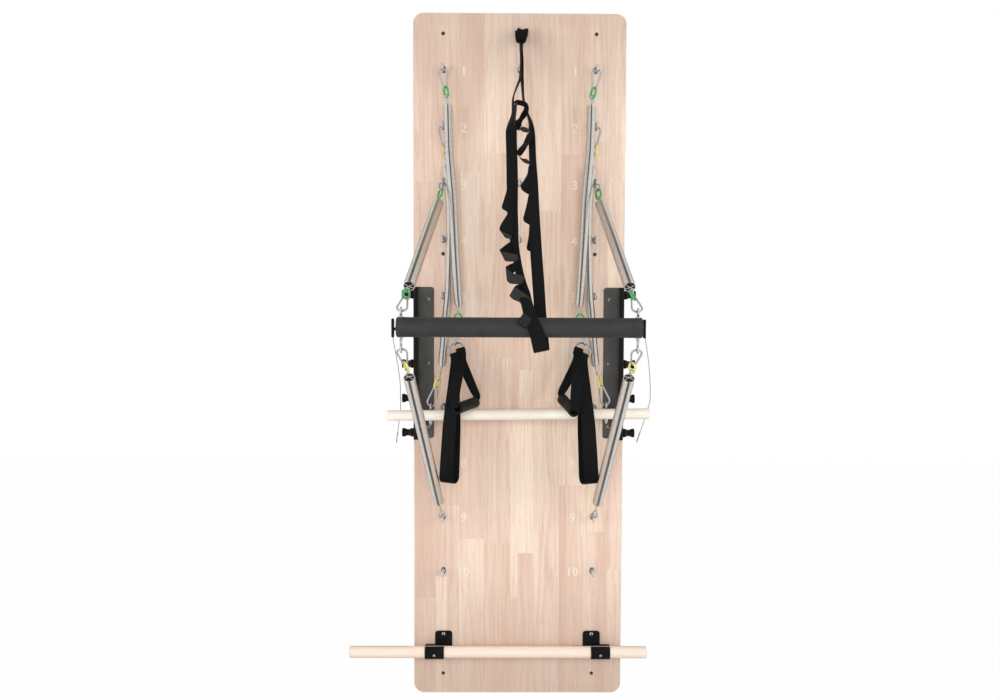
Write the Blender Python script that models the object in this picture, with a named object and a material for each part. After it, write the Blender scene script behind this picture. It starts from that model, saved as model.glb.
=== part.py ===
"""Pilates wall unit: a board with eyebolts, sprung handles, a sprung roll-down bar,
a sprung push-through bar on side brackets, a foot bar and a stretch strap.

Metres, +Z up. The origin is the centre of the board's back face, and the front faces -Y.
Left is -X, as someone facing the board sees it.
"""

import math

import bmesh
import bpy
from mathutils import Vector

X, Y, Z = Vector((1, 0, 0)), Vector((0, 1, 0)), Vector((0, 0, 1))
SIDES = {"left": -1, "right": 1}

# Clearances
GAP = 0.0003  # between pieces that touch
FIT = 0.0005  # all round, between a pin or shank and its bore
SEW = 0.0014  # overlap of pieces that are one solid
CUT_OVER = 0.010  # how far a cutter runs past a face

# Back board
BOARD_W = 0.610
BOARD_H = 1.980
BOARD_T = 0.028
BOARD_CORNER_R = 0.030
MOUNT_X = 0.2195
MOUNT_ROWS_Z = (0.9325, 0.305, -0.310, -0.9325)
MOUNT_HOLE_R = 0.0055
FRONT = -BOARD_T

# Eyebolts, on two columns of rows and a centre column
COLUMN_X = 0.219
ROW_1_Z = 0.830
ROW_PITCH = 0.1615
STRAP_ROW_Z = 0.932
EYE_R = 0.0095
EYE_STANDOFF = 0.030
WIRE_R = 0.0025
SHANK_R = 0.003
SHANK_DEPTH = 0.020
WASHER_R = 0.010
WASHER_T = 0.0015
EYE_POINTS = 10
EYE_FLAT = math.cos(math.pi / EYE_POINTS)
SHANK_SIDES = 6
EYE_Y = FRONT - EYE_STANDOFF

# Side brackets, C-channels that open towards the board's middle
BRACKET_X = 0.3025
BRACKET_W = 0.0565
BRACKET_TOP_Z = 0.209
BRACKET_H = 0.440
BRACKET_DEPTH = 0.040
BRACKET_SHEET = 0.003
LIP_W = 0.0145
PLATE_CORNER_R = 0.008

# Spool pegs on the brackets, of which the second carries the push-through bar
PIVOT_Z = 0.0875
SPOOL_PITCH = 0.0999
SPOOL_COUNT = 5
PIVOT_SPOOL = 2
SPOOL_STANDOFF = 0.0197
SPOOL_LENGTH = 0.0335
SPOOL_R = 0.0125
SPOOL_WAIST_R = 0.0095
SPOOL_FLANGE_T = 0.008
SPOOL_WAIST_T = 0.006
PIN_R = 0.004
PIVOT_Y = FRONT - SPOOL_STANDOFF

# Push-through bar
BAR_Y = -0.550
BAR_Z = 0.111
CROSS_R = 0.0125
FOAM_R = 0.024
FOAM_LENGTH = 0.589
CROSS_SHORT = 0.001
ARM_R = 0.011
ARM_INSET = 0.0245
ARM_BAR_X = FOAM_LENGTH / 2 - ARM_INSET
ARM_START = 0.6
ARM_TRIM = 0.050
SLEEVE_CUT = 0.060
HUB_R = 0.018
HUB_T = 0.0125
BAR_EYE_INSET = 0.0105
BAR_EYE_X = FOAM_LENGTH / 2 - BAR_EYE_INSET
BAR_EYE_R = 0.0085
BAR_EYE_RISE = 0.0375
BAR_WASHER_R = 0.007
BAR_WASHER_T = 0.002

# T-handled lock pins
PIN_REACH = 0.035
T_NECK_R = 0.005
T_NECK = 0.014
T_BAR_R = 0.0045
T_BAR_LENGTH = 0.055
T_BAR_RISE = 0.003

# Snap hooks and coloured links
HOOK_WIDE_R = 0.0125
HOOK_NARROW_R = 0.006
HOOK_LENGTH = 0.056
LINK_R = 0.0095
LINK_LENGTH = 0.031
STEM_R = 0.003
UPPER_LINK_R = 0.0078
UPPER_LINK_LENGTH = 0.036
UPPER_LINK_REACH = 0.072
UPPER_HOOK_REACH = 0.101
LOWER_HOOK_REACH = 0.120
RING_GAP = 0.0006  # between a D-ring's wire and the hook in it

# Springs
THIN_COIL_R = 0.01275
THICK_COIL_R = 0.015
SPRING_WIRE_R = 0.0013
THIN_CURLS = 8
THICK_CURLS = 5
CURL_POINTS = 8
SPRING_LEAD = 0.005
LEAD_STRAIGHT = 0.8
AXIS_SPACING = 0.002
HANDLE_ROUTE = [
    (0.2034, -0.0680, 0.7265),
    (0.1995, -0.0860, 0.6120),
    (0.1955, -0.0910, 0.5550),
    (0.1865, -0.0925, 0.4420),
    (0.1820, -0.0925, 0.3430),
    (0.1737, -0.0925, 0.2000),
    (0.1700, -0.0920, 0.1520),
]
ROLLDOWN_ROUTE = [
    (0.2092, -0.0635, 0.5555),
    (0.2020, -0.0545, 0.5000),
    (0.1976, -0.0520, 0.4420),
    (0.1970, -0.0560, 0.3430),
    (0.2005, -0.0640, 0.2003),
    (0.2066, -0.0740, 0.1231),
    (0.2145, -0.0845, 0.0225),
    (0.2185, -0.0850, -0.0171),
]

# Handles
RING_Y = -0.100
RING_R = 0.0245
RING_RISE = 0.010
STRAP_T = 0.0026
STRAP_W = 0.021
LOOP_W = 0.044
LOOP_BOTTOM_R = 0.017
GRIP_R = 0.0155
GRIP_BORE_R = 0.0095
GRIP_LENGTH = 0.115
GRIP_STRAP_W = 0.014
GRIP_SIDES = 12
LOOP_WIDENS = 0.20
STRAP_STEP = 0.07
STRAP_HOLD = 0.012
HAND_LIFT = 0.00023
HAND_FALL = 0.020
HAND_BACK = 0.001
HAND_FRONT = 0.004
BEND_OUT = 0.012
BEND_LOW = 0.016
BEND_HIGH = 0.045
BEND_IN = 0.005
BEND_W = 0.018
SEAT_INSET = 0.020

# Roll-down bar
ROLL_R = 0.015
ROLL_LENGTH = 0.751
ROLL_Y = -0.084
ROLL_Z = -0.1553
ROLL_TILT = math.radians(0.6)
SCREW_EYE_X = 0.2515
SCREW_EYE_R = 0.0075
SCREW_EYE_RISE = 0.0255
SCREW_STUB = 0.013
SCREW_WASHER_R = 0.007

# Foot bar
FOOT_R = 0.0172
FOOT_LEFT_X = -0.492
FOOT_RIGHT_X = 0.379
FOOT_Z = -0.8605
CLAMP_R = 0.0215
CLAMP_X = 0.243
CLAMP_W = 0.056
FOOT_PLATE_X = 0.218
FOOT_PLATE_W = 0.050
FOOT_PLATE_H = 0.083
FOOT_PLATE_T = 0.004
FOOT_PLATE_CORNER_R = 0.006
FOOT_PLATE_RISE = 0.0235
CLAMP_PAD = 0.8
FOOT_Y = FRONT - GAP - CLAMP_R

# Stretch strap
STRETCH_W = 0.029
STRETCH_T = 0.0018
STRETCH_TUCK = 0.006
STRETCH_CLEAR = 0.003

# Lanyards
LANYARD_R = 0.0010
LANYARD_SPACING = 0.006
LANYARD_ROUTES = {
    "left": [
        (-0.3625, -0.0490, 0.0627),
        (-0.3595, -0.0520, 0.0443),
        (-0.3478, -0.0550, -0.0190),
        (-0.3420, -0.0570, -0.0630),
        (-0.3404, -0.0580, -0.1027),
        (-0.3406, -0.0580, -0.1461),
        (-0.3451, -0.0570, -0.1811),
        (-0.3496, -0.0560, -0.2162),
    ],
    "right": [
        (0.3655, -0.0490, 0.0627),
        (0.3706, -0.0520, 0.0298),
        (0.3765, -0.0550, -0.0163),
        (0.3802, -0.0575, -0.0700),
        (0.3802, -0.0580, -0.1146),
        (0.3747, -0.0580, -0.1379),
        (0.3657, -0.0580, -0.1693),
        (0.3511, -0.0560, -0.2139),
    ],
}

BLACK = ((0.012, 0.012, 0.013), 0.0, 0.55)
FOAM = ((0.025, 0.025, 0.027), 0.0, 0.9)
WEBBING = ((0.010, 0.010, 0.011), 0.0, 0.9)
STEEL = ((0.72, 0.72, 0.73), 1.0, 0.25)
WOOD = ((0.78, 0.60, 0.44), 0.0, 0.5)
DOWEL = ((0.86, 0.76, 0.58), 0.0, 0.5)


def row_z(row):
    return ROW_1_Z - ROW_PITCH * (row - 1)


def mesh_object(name, points, faces, finish=None):
    mesh = bpy.data.meshes.new(name)
    mesh.from_pydata([tuple(p) for p in points], [], faces)
    cleaner = bmesh.new()
    cleaner.from_mesh(mesh)
    bmesh.ops.recalc_face_normals(cleaner, faces=cleaner.faces)
    cleaner.to_mesh(mesh)
    cleaner.free()
    mesh.set_sharp_from_angle(angle=math.radians(40))
    for polygon in mesh.polygons:
        polygon.use_smooth = True
    obj = bpy.data.objects.new(name, mesh)
    bpy.context.scene.collection.objects.link(obj)
    if finish:
        paint(obj, finish)
    return obj


def paint(obj, finish):
    color, metallic, roughness = finish
    material = bpy.data.materials.new(obj.name)
    material.use_nodes = True
    shader = material.node_tree.nodes["Principled BSDF"]
    shader.inputs["Base Color"].default_value = (*color, 1)
    shader.inputs["Metallic"].default_value = metallic
    shader.inputs["Roughness"].default_value = roughness
    obj.data.materials.append(material)


def combine(obj, other, operation, solver="EXACT"):
    """Adds or cuts a helper, which stays in the scene as a wire that isn't rendered."""
    modifier = obj.modifiers.new(other.name, "BOOLEAN")
    modifier.operation = operation
    modifier.solver = solver
    modifier.object = other
    other.hide_render = True
    other.display_type = "WIRE"


def join(obj, *others):
    for other in others:
        combine(obj, other, "UNION")
    return obj


def cut(obj, *others):
    for other in others:
        combine(obj, other, "DIFFERENCE")
    return obj


def put_origin(obj, place):
    """Moves the object's origin to place, and leaves its shape where it is."""
    for vertex in obj.data.vertices:
        vertex.co -= Vector(place)
    obj.location = place


def skin(name, rings, closed, finish=None):
    """A surface through rings of points. An open one has a flat face at each end."""
    count = len(rings[0])
    faces = []
    for i in range(len(rings) if closed else len(rings) - 1):
        a, b = i * count, (i + 1) % len(rings) * count
        for j in range(count):
            k = (j + 1) % count
            faces.append((a + j, a + k, b + k, b + j))
    if not closed:
        faces.append(tuple(reversed(range(count))))
        faces.append(tuple(range((len(rings) - 1) * count, len(rings) * count)))
    return mesh_object(name, [p for ring in rings for p in ring], faces, finish)


def square_to(direction):
    """Two unit vectors square to a direction and to each other."""
    a = direction.cross(Z if abs(direction.normalized().z) < 0.9 else X).normalized()
    return a, direction.cross(a).normalized()


def tangents(points, closed):
    found = []
    for i, point in enumerate(points):
        before = points[i - 1] if closed or i else point
        after = points[(i + 1) % len(points)] if closed or i + 1 < len(points) else point
        found.append((after - before).normalized())
    return found


def tube(name, points, radius, sides=6, closed=False, finish=None):
    """A round tube along points, whose section turns as little as it can."""
    points = [Vector(p) for p in points]
    rings = []
    across = None
    for point, along in zip(points, tangents(points, closed)):
        if across is None:
            across, _ = square_to(along)
        across = (across - along * across.dot(along)).normalized()
        up = along.cross(across)
        rings.append([
            point + (across * math.cos(a) + up * math.sin(a)) * radius
            for a in (2 * math.pi * j / sides for j in range(sides))
        ])
    return skin(name, rings, closed, finish)


def lathe(name, base, axis, profile, sides, loop=False, finish=None):
    """Turns (distance along the axis, radius) stations. A loop comes back through a bore."""
    across, up = square_to(axis)
    rings = [
        [
            Vector(base) + axis * s + (across * math.cos(a) + up * math.sin(a)) * r
            for a in (2 * math.pi * (j + 0.5) / sides for j in range(sides))
        ]
        for s, r in profile
    ]
    return skin(name, rings, loop, finish)


def rod(name, start, end, radius, sides=8, finish=None):
    start, end = Vector(start), Vector(end)
    length = (end - start).length
    return lathe(name, start, (end - start).normalized(), [(0, radius), (length, radius)],
                 sides, finish=finish)


def prism(name, outline, place, end_shift, finish=None):
    """Sweeps a flat outline, given in 3-D around place, along end_shift."""
    base = [Vector(place) + Vector(p) for p in outline]
    return skin(name, [base, [p + Vector(end_shift) for p in base]], False, finish)


def rounded_rectangle(width, height, radius, steps):
    """Outline in the XZ plane around the origin."""
    outline = []
    for i, (sx, sz) in enumerate(((1, 1), (-1, 1), (-1, -1), (1, -1))):
        centre = Vector((sx * (width / 2 - radius), 0, sz * (height / 2 - radius)))
        for j in range(steps + 1):
            a = math.pi / 2 * (i + j / steps)
            outline.append(centre + Vector((math.cos(a), 0, math.sin(a))) * radius)
    return outline


def circle(centre, radius, across, up, count):
    return [
        Vector(centre) + (across * math.cos(a) + up * math.sin(a)) * radius
        for a in (2 * math.pi * i / count for i in range(count))
    ]


def pear(start, along, across, length, start_r, end_r, steps, end_steps):
    """Centre line of a closed loop: an arc at each end, joined by straight sides."""
    run = length - start_r - end_r
    lean = math.acos((start_r - end_r) / run)
    first = start + along * start_r
    last = first + along * run
    points = []
    for centre, radius, a0, a1, count in (
        (last, end_r, -lean, lean, end_steps),
        (first, start_r, lean, 2 * math.pi - lean, steps),
    ):
        for i in range(count + 1):
            a = a0 + (a1 - a0) * i / count
            points.append(centre + (along * math.cos(a) + across * math.sin(a)) * radius)
    return points


def smooth_path(route, spacing):
    """Evenly spaced points on a smooth curve through a route's own points."""
    route = [Vector(p) for p in route]
    ends = [route[0] * 2 - route[1]] + route + [route[-1] * 2 - route[-2]]
    dense = []
    for p0, p1, p2, p3 in zip(ends, ends[1:], ends[2:], ends[3:]):
        for i in range(24):
            t = i / 24
            dense.append(0.5 * (
                p1 * 2 + (p2 - p0) * t
                + (p0 * 2 - p1 * 5 + p2 * 4 - p3) * t ** 2
                + (p1 * 3 - p0 - p2 * 3 + p3) * t ** 3
            ))
    dense.append(route[-1])
    reached = [0.0]
    for a, b in zip(dense, dense[1:]):
        reached.append(reached[-1] + (b - a).length)
    count = max(2, round(reached[-1] / spacing))
    even = []
    i = 0
    for step in range(count + 1):
        wanted = reached[-1] * step / count
        while i < len(reached) - 2 and reached[i + 1] < wanted:
            i += 1
        share = (wanted - reached[i]) / (reached[i + 1] - reached[i])
        even.append(dense[i].lerp(dense[i + 1], share))
    return even


def ribbon(name, stations, thickness, closed, finish=None):
    """A flat band through (point, direction of its width, width) stations."""
    points = [Vector(p) for p, _, _ in stations]
    rings = []
    for point, along, (_, wide, width) in zip(points, tangents(points, closed), stations):
        wide = (wide - along * wide.dot(along)).normalized() * width / 2
        thick = along.cross(wide).normalized() * thickness / 2
        rings.append([point + wide + thick, point - wide + thick,
                      point - wide - thick, point + wide - thick])
    return skin(name, rings, closed, finish)


def least_gap(points, wire_r, turn):
    """The least space between a wire's turns, measured on its points."""
    least = min(
        (a - b).length
        for i, a in enumerate(points)
        for b in points[i + turn // 2 + 1:i + 2 * turn]
    )
    return least - 2 * wire_r


def spring(name, route, coil_r, curls):
    """One wire: a straight lead on the axis, the curls, and a straight lead at the other end."""
    count = curls * CURL_POINTS
    axis = smooth_path(route, AXIS_SPACING)
    length = sum((b - a).length for a, b in zip(axis, axis[1:]))
    lead = SPRING_LEAD / length
    mean_r = coil_r - SPRING_WIRE_R
    start_way = (axis[1] - axis[0]).normalized()
    across = square_to(start_way)[0]
    points = [axis[0], axis[0] + start_way * SPRING_LEAD * LEAD_STRAIGHT]
    for i in range(count + 1):
        place = (lead + (1 - 2 * lead) * i / count) * (len(axis) - 1)
        j = min(int(place), len(axis) - 2)
        centre = axis[j].lerp(axis[j + 1], place - j)
        along = (axis[j + 1] - axis[j]).normalized()
        across = (across - along * across.dot(along)).normalized()
        turn = 2 * math.pi * i / CURL_POINTS
        reach = mean_r * min(1, (i + 1) / 2, (count - i + 1) / 2)
        points.append(centre + (across * math.cos(turn) + along.cross(across) * math.sin(turn)) * reach)
    end_way = (axis[-1] - axis[-2]).normalized()
    points += [axis[-1] - end_way * SPRING_LEAD * LEAD_STRAIGHT, axis[-1]]
    curl_gap = least_gap(points[4:-4], SPRING_WIRE_R, CURL_POINTS)
    print(f"{name}: least gap between its curls {curl_gap * 1000:.1f} mm")
    return tube(name, points, SPRING_WIRE_R, finish=STEEL)


def eyebolt(name, x, z, *extras):
    """Ring, shank and washer, in a bore of the board."""
    ring = circle((x, EYE_Y, z), EYE_R, Y, Z, EYE_POINTS)
    bolt = tube(name, ring, WIRE_R, closed=True, finish=STEEL)
    start = EYE_Y + EYE_R
    front = FRONT - GAP - WASHER_T - start
    profile = [(0, SHANK_R), (front, SHANK_R), (front, WASHER_R), (front + WASHER_T, WASHER_R),
               (front + WASHER_T, SHANK_R), (FRONT + SHANK_DEPTH - start, SHANK_R)]
    return join(bolt, lathe(name + "_shank", (x, start, z), Y, profile, SHANK_SIDES), *extras)


def snap_hook(name, start, end, across):
    """Pear snap hook from start, oval link and a stem that stops short of end, as one solid."""
    along = (end - start).normalized()
    across = (across - along * across.dot(along)).normalized()
    link_across = along.cross(across)
    hook = tube(name, pear(start, along, across, HOOK_LENGTH, HOOK_WIDE_R, HOOK_NARROW_R, 5, 3),
                WIRE_R, closed=True, finish=STEEL)
    link_start = start + along * (HOOK_LENGTH - 2 * WIRE_R + SEW)
    link_end = link_start + along * LINK_LENGTH
    link = tube(name + "_link", pear(link_start, along, link_across, LINK_LENGTH, LINK_R, LINK_R, 4, 4),
                WIRE_R, closed=True)
    stem = rod(name + "_stem", link_end + along * (WIRE_R - SEW), end - along * GAP, STEM_R, SHANK_SIDES)
    return join(hook, link, stem)


def back_board():
    outline = rounded_rectangle(BOARD_W, BOARD_H, BOARD_CORNER_R, 5)
    board = prism("back_board", outline, (0, 0, 0), (0, FRONT, 0), WOOD)
    for x in (-MOUNT_X, MOUNT_X):
        for i, z in enumerate(MOUNT_ROWS_Z):
            cut(board, rod(f"mount_hole_{x:+.2f}_{i}", (x, CUT_OVER, z), (x, FRONT - CUT_OVER, z),
                           MOUNT_HOLE_R, 8))
    bores = [(s * COLUMN_X, row_z(row)) for s in SIDES.values() for row in (1, 2, 3, 9)]
    for i, (x, z) in enumerate(bores + [(0, STRAP_ROW_Z)]):
        bottom = FRONT + SHANK_DEPTH + 2 * FIT
        cut(board, rod(f"shank_bore_{i}", (x, FRONT - CUT_OVER, z), (x, bottom, z), SHANK_R + FIT,
                       SHANK_SIDES))


def side_bracket(side, s):
    """A back plate, an outer wall and a lip that turns inwards at the front."""
    back = FRONT - GAP
    mid_z = BRACKET_TOP_Z - BRACKET_H / 2
    outline = rounded_rectangle(BRACKET_W, BRACKET_H, PLATE_CORNER_R, 4)
    centre = (s * (BRACKET_X - BRACKET_W / 2), back, mid_z)
    bracket = prism(f"side_bracket_{side}", outline, centre, (0, -BRACKET_SHEET, 0), BLACK)
    section = [
        (BRACKET_X, 0), (BRACKET_X, -BRACKET_DEPTH), (BRACKET_X - LIP_W, -BRACKET_DEPTH),
        (BRACKET_X - LIP_W, BRACKET_SHEET - BRACKET_DEPTH),
        (BRACKET_X - BRACKET_SHEET, BRACKET_SHEET - BRACKET_DEPTH), (BRACKET_X - BRACKET_SHEET, 0),
    ]
    wall = prism(f"bracket_wall_{side}", [(s * x, y, 0) for x, y in section],
                 (0, back, BRACKET_TOP_Z - BRACKET_H), (0, 0, BRACKET_H))
    join(bracket, wall, spool(f"pivot_spool_{side}", s, PIVOT_SPOOL, -SEW))


def spool(name, s, row, base=GAP):
    """A turned peg with a narrow waist, bored through for the lock pin."""
    z = PIVOT_Z + SPOOL_PITCH * (PIVOT_SPOOL - row)
    slope = (SPOOL_LENGTH - 2 * SPOOL_FLANGE_T - SPOOL_WAIST_T) / 2
    waist = SPOOL_FLANGE_T + slope
    bore_r = PIN_R + FIT
    end = SPOOL_LENGTH + GAP
    profile = [
        (base, SPOOL_R), (SPOOL_FLANGE_T, SPOOL_R), (waist, SPOOL_WAIST_R),
        (waist + SPOOL_WAIST_T, SPOOL_WAIST_R), (end - SPOOL_FLANGE_T, SPOOL_R),
        (end, SPOOL_R), (end, bore_r), (base, bore_r),
    ]
    return lathe(name, (s * BRACKET_X, PIVOT_Y, z), X * s, profile, 8, loop=True, finish=BLACK)


HUB_IN_X = BRACKET_X + 2 * GAP + SPOOL_LENGTH
HUB_OUT_X = HUB_IN_X + HUB_T
PIVOT = Vector((0, PIVOT_Y, PIVOT_Z))


def arm_line(s):
    rear = Vector((s * (HUB_IN_X + HUB_T / 2), PIVOT_Y, PIVOT_Z))
    return rear, Vector((s * ARM_BAR_X, BAR_Y, BAR_Z))


def bar_eye_bore(name, s):
    middle = Vector((s * BAR_EYE_X, BAR_Y, BAR_Z))
    half = Z * (FOAM_R + CUT_OVER)
    return rod(name, middle - half, middle + half, SHANK_R + FIT, SHANK_SIDES)


def push_bar_frame():
    """Cross tube, two arms and their flat end hubs, welded into one piece."""
    half = FOAM_LENGTH / 2 - CROSS_SHORT
    frame = rod("push_bar_frame", (-half, BAR_Y, BAR_Z), (half, BAR_Y, BAR_Z), CROSS_R, 16, BLACK)
    for side, s in SIDES.items():
        rear, front = arm_line(s)
        start = rear + (front - rear).normalized() * HUB_R * ARM_START
        arm = rod(f"arm_{side}", start, front, ARM_R, 10)
        inner, outer = PIVOT + X * s * HUB_IN_X, PIVOT + X * s * HUB_OUT_X
        cut(arm, rod(f"arm_trim_{side}", outer, outer + X * s * ARM_TRIM, HUB_R * 2, 6),
            rod(f"spool_trim_{side}", inner - X * s * ARM_TRIM, inner, HUB_R * 2, 6))
        join(frame, arm, rod(f"hub_{side}", inner, outer, HUB_R, 16))
        bore = rod(f"hub_bore_{side}", inner - X * s * CUT_OVER, outer + X * s * CUT_OVER, PIN_R + FIT, 10)
        cut(frame, bore, bar_eye_bore(f"frame_eye_bore_{side}", s))
    put_origin(frame, PIVOT)


def foam_sleeve():
    half = FOAM_LENGTH / 2
    profile = [(0, FOAM_R), (FOAM_LENGTH, FOAM_R), (FOAM_LENGTH, CROSS_R + GAP), (0, CROSS_R + GAP)]
    sleeve = lathe("foam_sleeve", (-half, BAR_Y, BAR_Z), X, profile, 16, loop=True, finish=FOAM)
    for side, s in SIDES.items():
        rear, front = arm_line(s)
        arm_hole = rod(f"sleeve_arm_hole_{side}", front + (rear - front).normalized() * SLEEVE_CUT, front,
                       ARM_R + FIT, 10)
        cut(sleeve, arm_hole, bar_eye_bore(f"sleeve_eye_bore_{side}", s))
    put_origin(sleeve, PIVOT)


def bar_eye_centre(s, way):
    return Vector((s * BAR_EYE_X, BAR_Y, BAR_Z + way * BAR_EYE_RISE))


def bar_eye(side, s):
    """A ring above and a ring below the bar, on one bolt with a washer at each face."""
    upper, lower = bar_eye_centre(s, 1), bar_eye_centre(s, -1)
    name = f"bar_eye_{side}"
    bolt = tube(name, circle(upper, BAR_EYE_R, Y, Z, EYE_POINTS), WIRE_R, closed=True, finish=STEEL)
    ring = tube(name + "_lower", circle(lower, BAR_EYE_R, Y, Z, EYE_POINTS), WIRE_R, closed=True)
    start = lower.z + BAR_EYE_R
    end = upper.z - BAR_EYE_R
    low_face = BAR_Z - FOAM_R - GAP - start
    high_face = BAR_Z + FOAM_R + GAP - start
    profile = [
        (0, SHANK_R), (low_face - BAR_WASHER_T, SHANK_R), (low_face - BAR_WASHER_T, BAR_WASHER_R),
        (low_face, BAR_WASHER_R), (low_face, SHANK_R), (high_face, SHANK_R),
        (high_face, BAR_WASHER_R), (high_face + BAR_WASHER_T, BAR_WASHER_R),
        (high_face + BAR_WASHER_T, SHANK_R), (end - start, SHANK_R),
    ]
    shank = lathe(name + "_shank", (s * BAR_EYE_X, BAR_Y, start), Z, profile, SHANK_SIDES)
    put_origin(join(bolt, ring, shank), PIVOT)


def t_pin(side, s):
    """A lock pin through the hub into the spool, with a T-handle outside."""
    start = HUB_OUT_X - PIN_REACH
    neck = HUB_OUT_X + GAP
    t_x = neck + T_NECK
    profile = [(0, PIN_R), (neck - start, PIN_R), (neck - start, T_NECK_R), (t_x - start, T_NECK_R)]
    pin = lathe(f"t_pin_{side}", (s * start, PIVOT_Y, PIVOT_Z), X * s, profile, 10, finish=BLACK)
    middle = Vector((s * t_x, PIVOT_Y, PIVOT_Z + T_BAR_RISE))
    half = Z * T_BAR_LENGTH / 2
    join(pin, rod(f"t_bar_{side}", middle - half, middle + half, T_BAR_R, 8))
    put_origin(pin, (s * start, PIVOT_Y, PIVOT_Z))


def lanyard(side):
    points = smooth_path(LANYARD_ROUTES[side], LANYARD_SPACING)
    curve = bpy.data.curves.new(f"lanyard_{side}", "CURVE")
    curve.dimensions = "3D"
    curve.bevel_depth = LANYARD_R
    curve.bevel_resolution = 2
    curve.use_fill_caps = True
    line = curve.splines.new("POLY")
    line.points.add(len(points) - 1)
    for spot, point in zip(line.points, points):
        spot.co = (*point, 1)
    cord = bpy.data.objects.new(f"lanyard_{side}", curve)
    bpy.context.scene.collection.objects.link(cord)
    paint(cord, STEEL)


def inside_ring(centre, ring_r, way):
    """Where a hook's wire lies in a ring of the same wire that stands in the YZ plane."""
    way = Vector((0, way.y, way.z)).normalized()
    return centre + way * (ring_r * EYE_FLAT - 2 * WIRE_R - 2 * GAP)


def sided(route, s):
    return [Vector((s * x, y, z)) for x, y, z in route]


def handle_spring(side, s):
    """Row 1 eyebolt, hook, long spring, hook and D-ring, from the top down."""
    eye = Vector((s * COLUMN_X, EYE_Y, row_z(1)))
    route = sided(HANDLE_ROUTE, s)
    top, bottom = route[0], route[-1]
    put_origin(snap_hook(f"hook_handle_top_{side}", inside_ring(eye, EYE_R, top - eye), top, X), eye)
    put_origin(spring(f"spring_handle_{side}", route, THIN_COIL_R, THIN_CURLS), eye)
    ring_top = ring_point(s, 0, RING_RISE + RING_R)
    start = ring_top - ring_up(s) * (2 * WIRE_R + RING_GAP)
    put_origin(snap_hook(f"hook_handle_low_{side}", start, bottom, Y), bottom)


RING_X = {-1: 0.1725, 1: 0.176}
RING_Z = {-1: 0.0167, 1: 0.0180}
RING_LEAN = {-1: math.radians(16), 1: math.radians(22)}


def ring_up(s):
    return Vector((s * math.sin(RING_LEAN[s]), 0, math.cos(RING_LEAN[s])))


def ring_out(s):
    return Vector((s * math.cos(RING_LEAN[s]), 0, -math.sin(RING_LEAN[s])))


def ring_point(s, out, up):
    base = Vector((s * RING_X[s], RING_Y, RING_Z[s]))
    return base + ring_out(s) * out + ring_up(s) * up


RING_FOOT_ANGLE = math.radians(-15)
BAR_UP = RING_RISE + RING_R * math.sin(RING_FOOT_ANGLE)


def d_ring(side, s):
    """A round wire ring with a straight bottom bar for the straps."""
    points = []
    for i in range(13):
        a = RING_FOOT_ANGLE + (math.pi - 2 * RING_FOOT_ANGLE) * i / 12
        points.append(ring_point(s, RING_R * math.cos(a), RING_RISE + RING_R * math.sin(a)))
    ring = tube(f"d_ring_{side}", points, WIRE_R, closed=True, finish=STEEL)
    put_origin(ring, ring_point(s, 0, RING_RISE + RING_R))


GRIP_NEAR = {-1: Vector((-0.1680, -0.222, -0.1226)), 1: Vector((0.1512, -0.222, -0.1297))}
GRIP_FAR = {-1: Vector((-0.1233, -0.120, -0.1165)), 1: Vector((0.1245, -0.120, -0.1075))}
LOOP_BOTTOM = {-1: Vector((-0.195, -0.148, -0.340)), 1: Vector((0.1995, -0.146, -0.342))}
LOOP_BACK = {-1: Vector((0.50, 0.866, 0)), 1: Vector((-0.42, 0.907, 0))}


def grip_axis(s):
    return (GRIP_FAR[s] - GRIP_NEAR[s]).normalized()


def subdivided(points, longest):
    """A closed line's points, with more of them on its long straight sides."""
    found = []
    for a, b in zip(points, points[1:] + points[:1]):
        steps = max(1, math.ceil((b - a).length / longest))
        found += [a.lerp(b, i / steps) for i in range(steps)]
    return found


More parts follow.
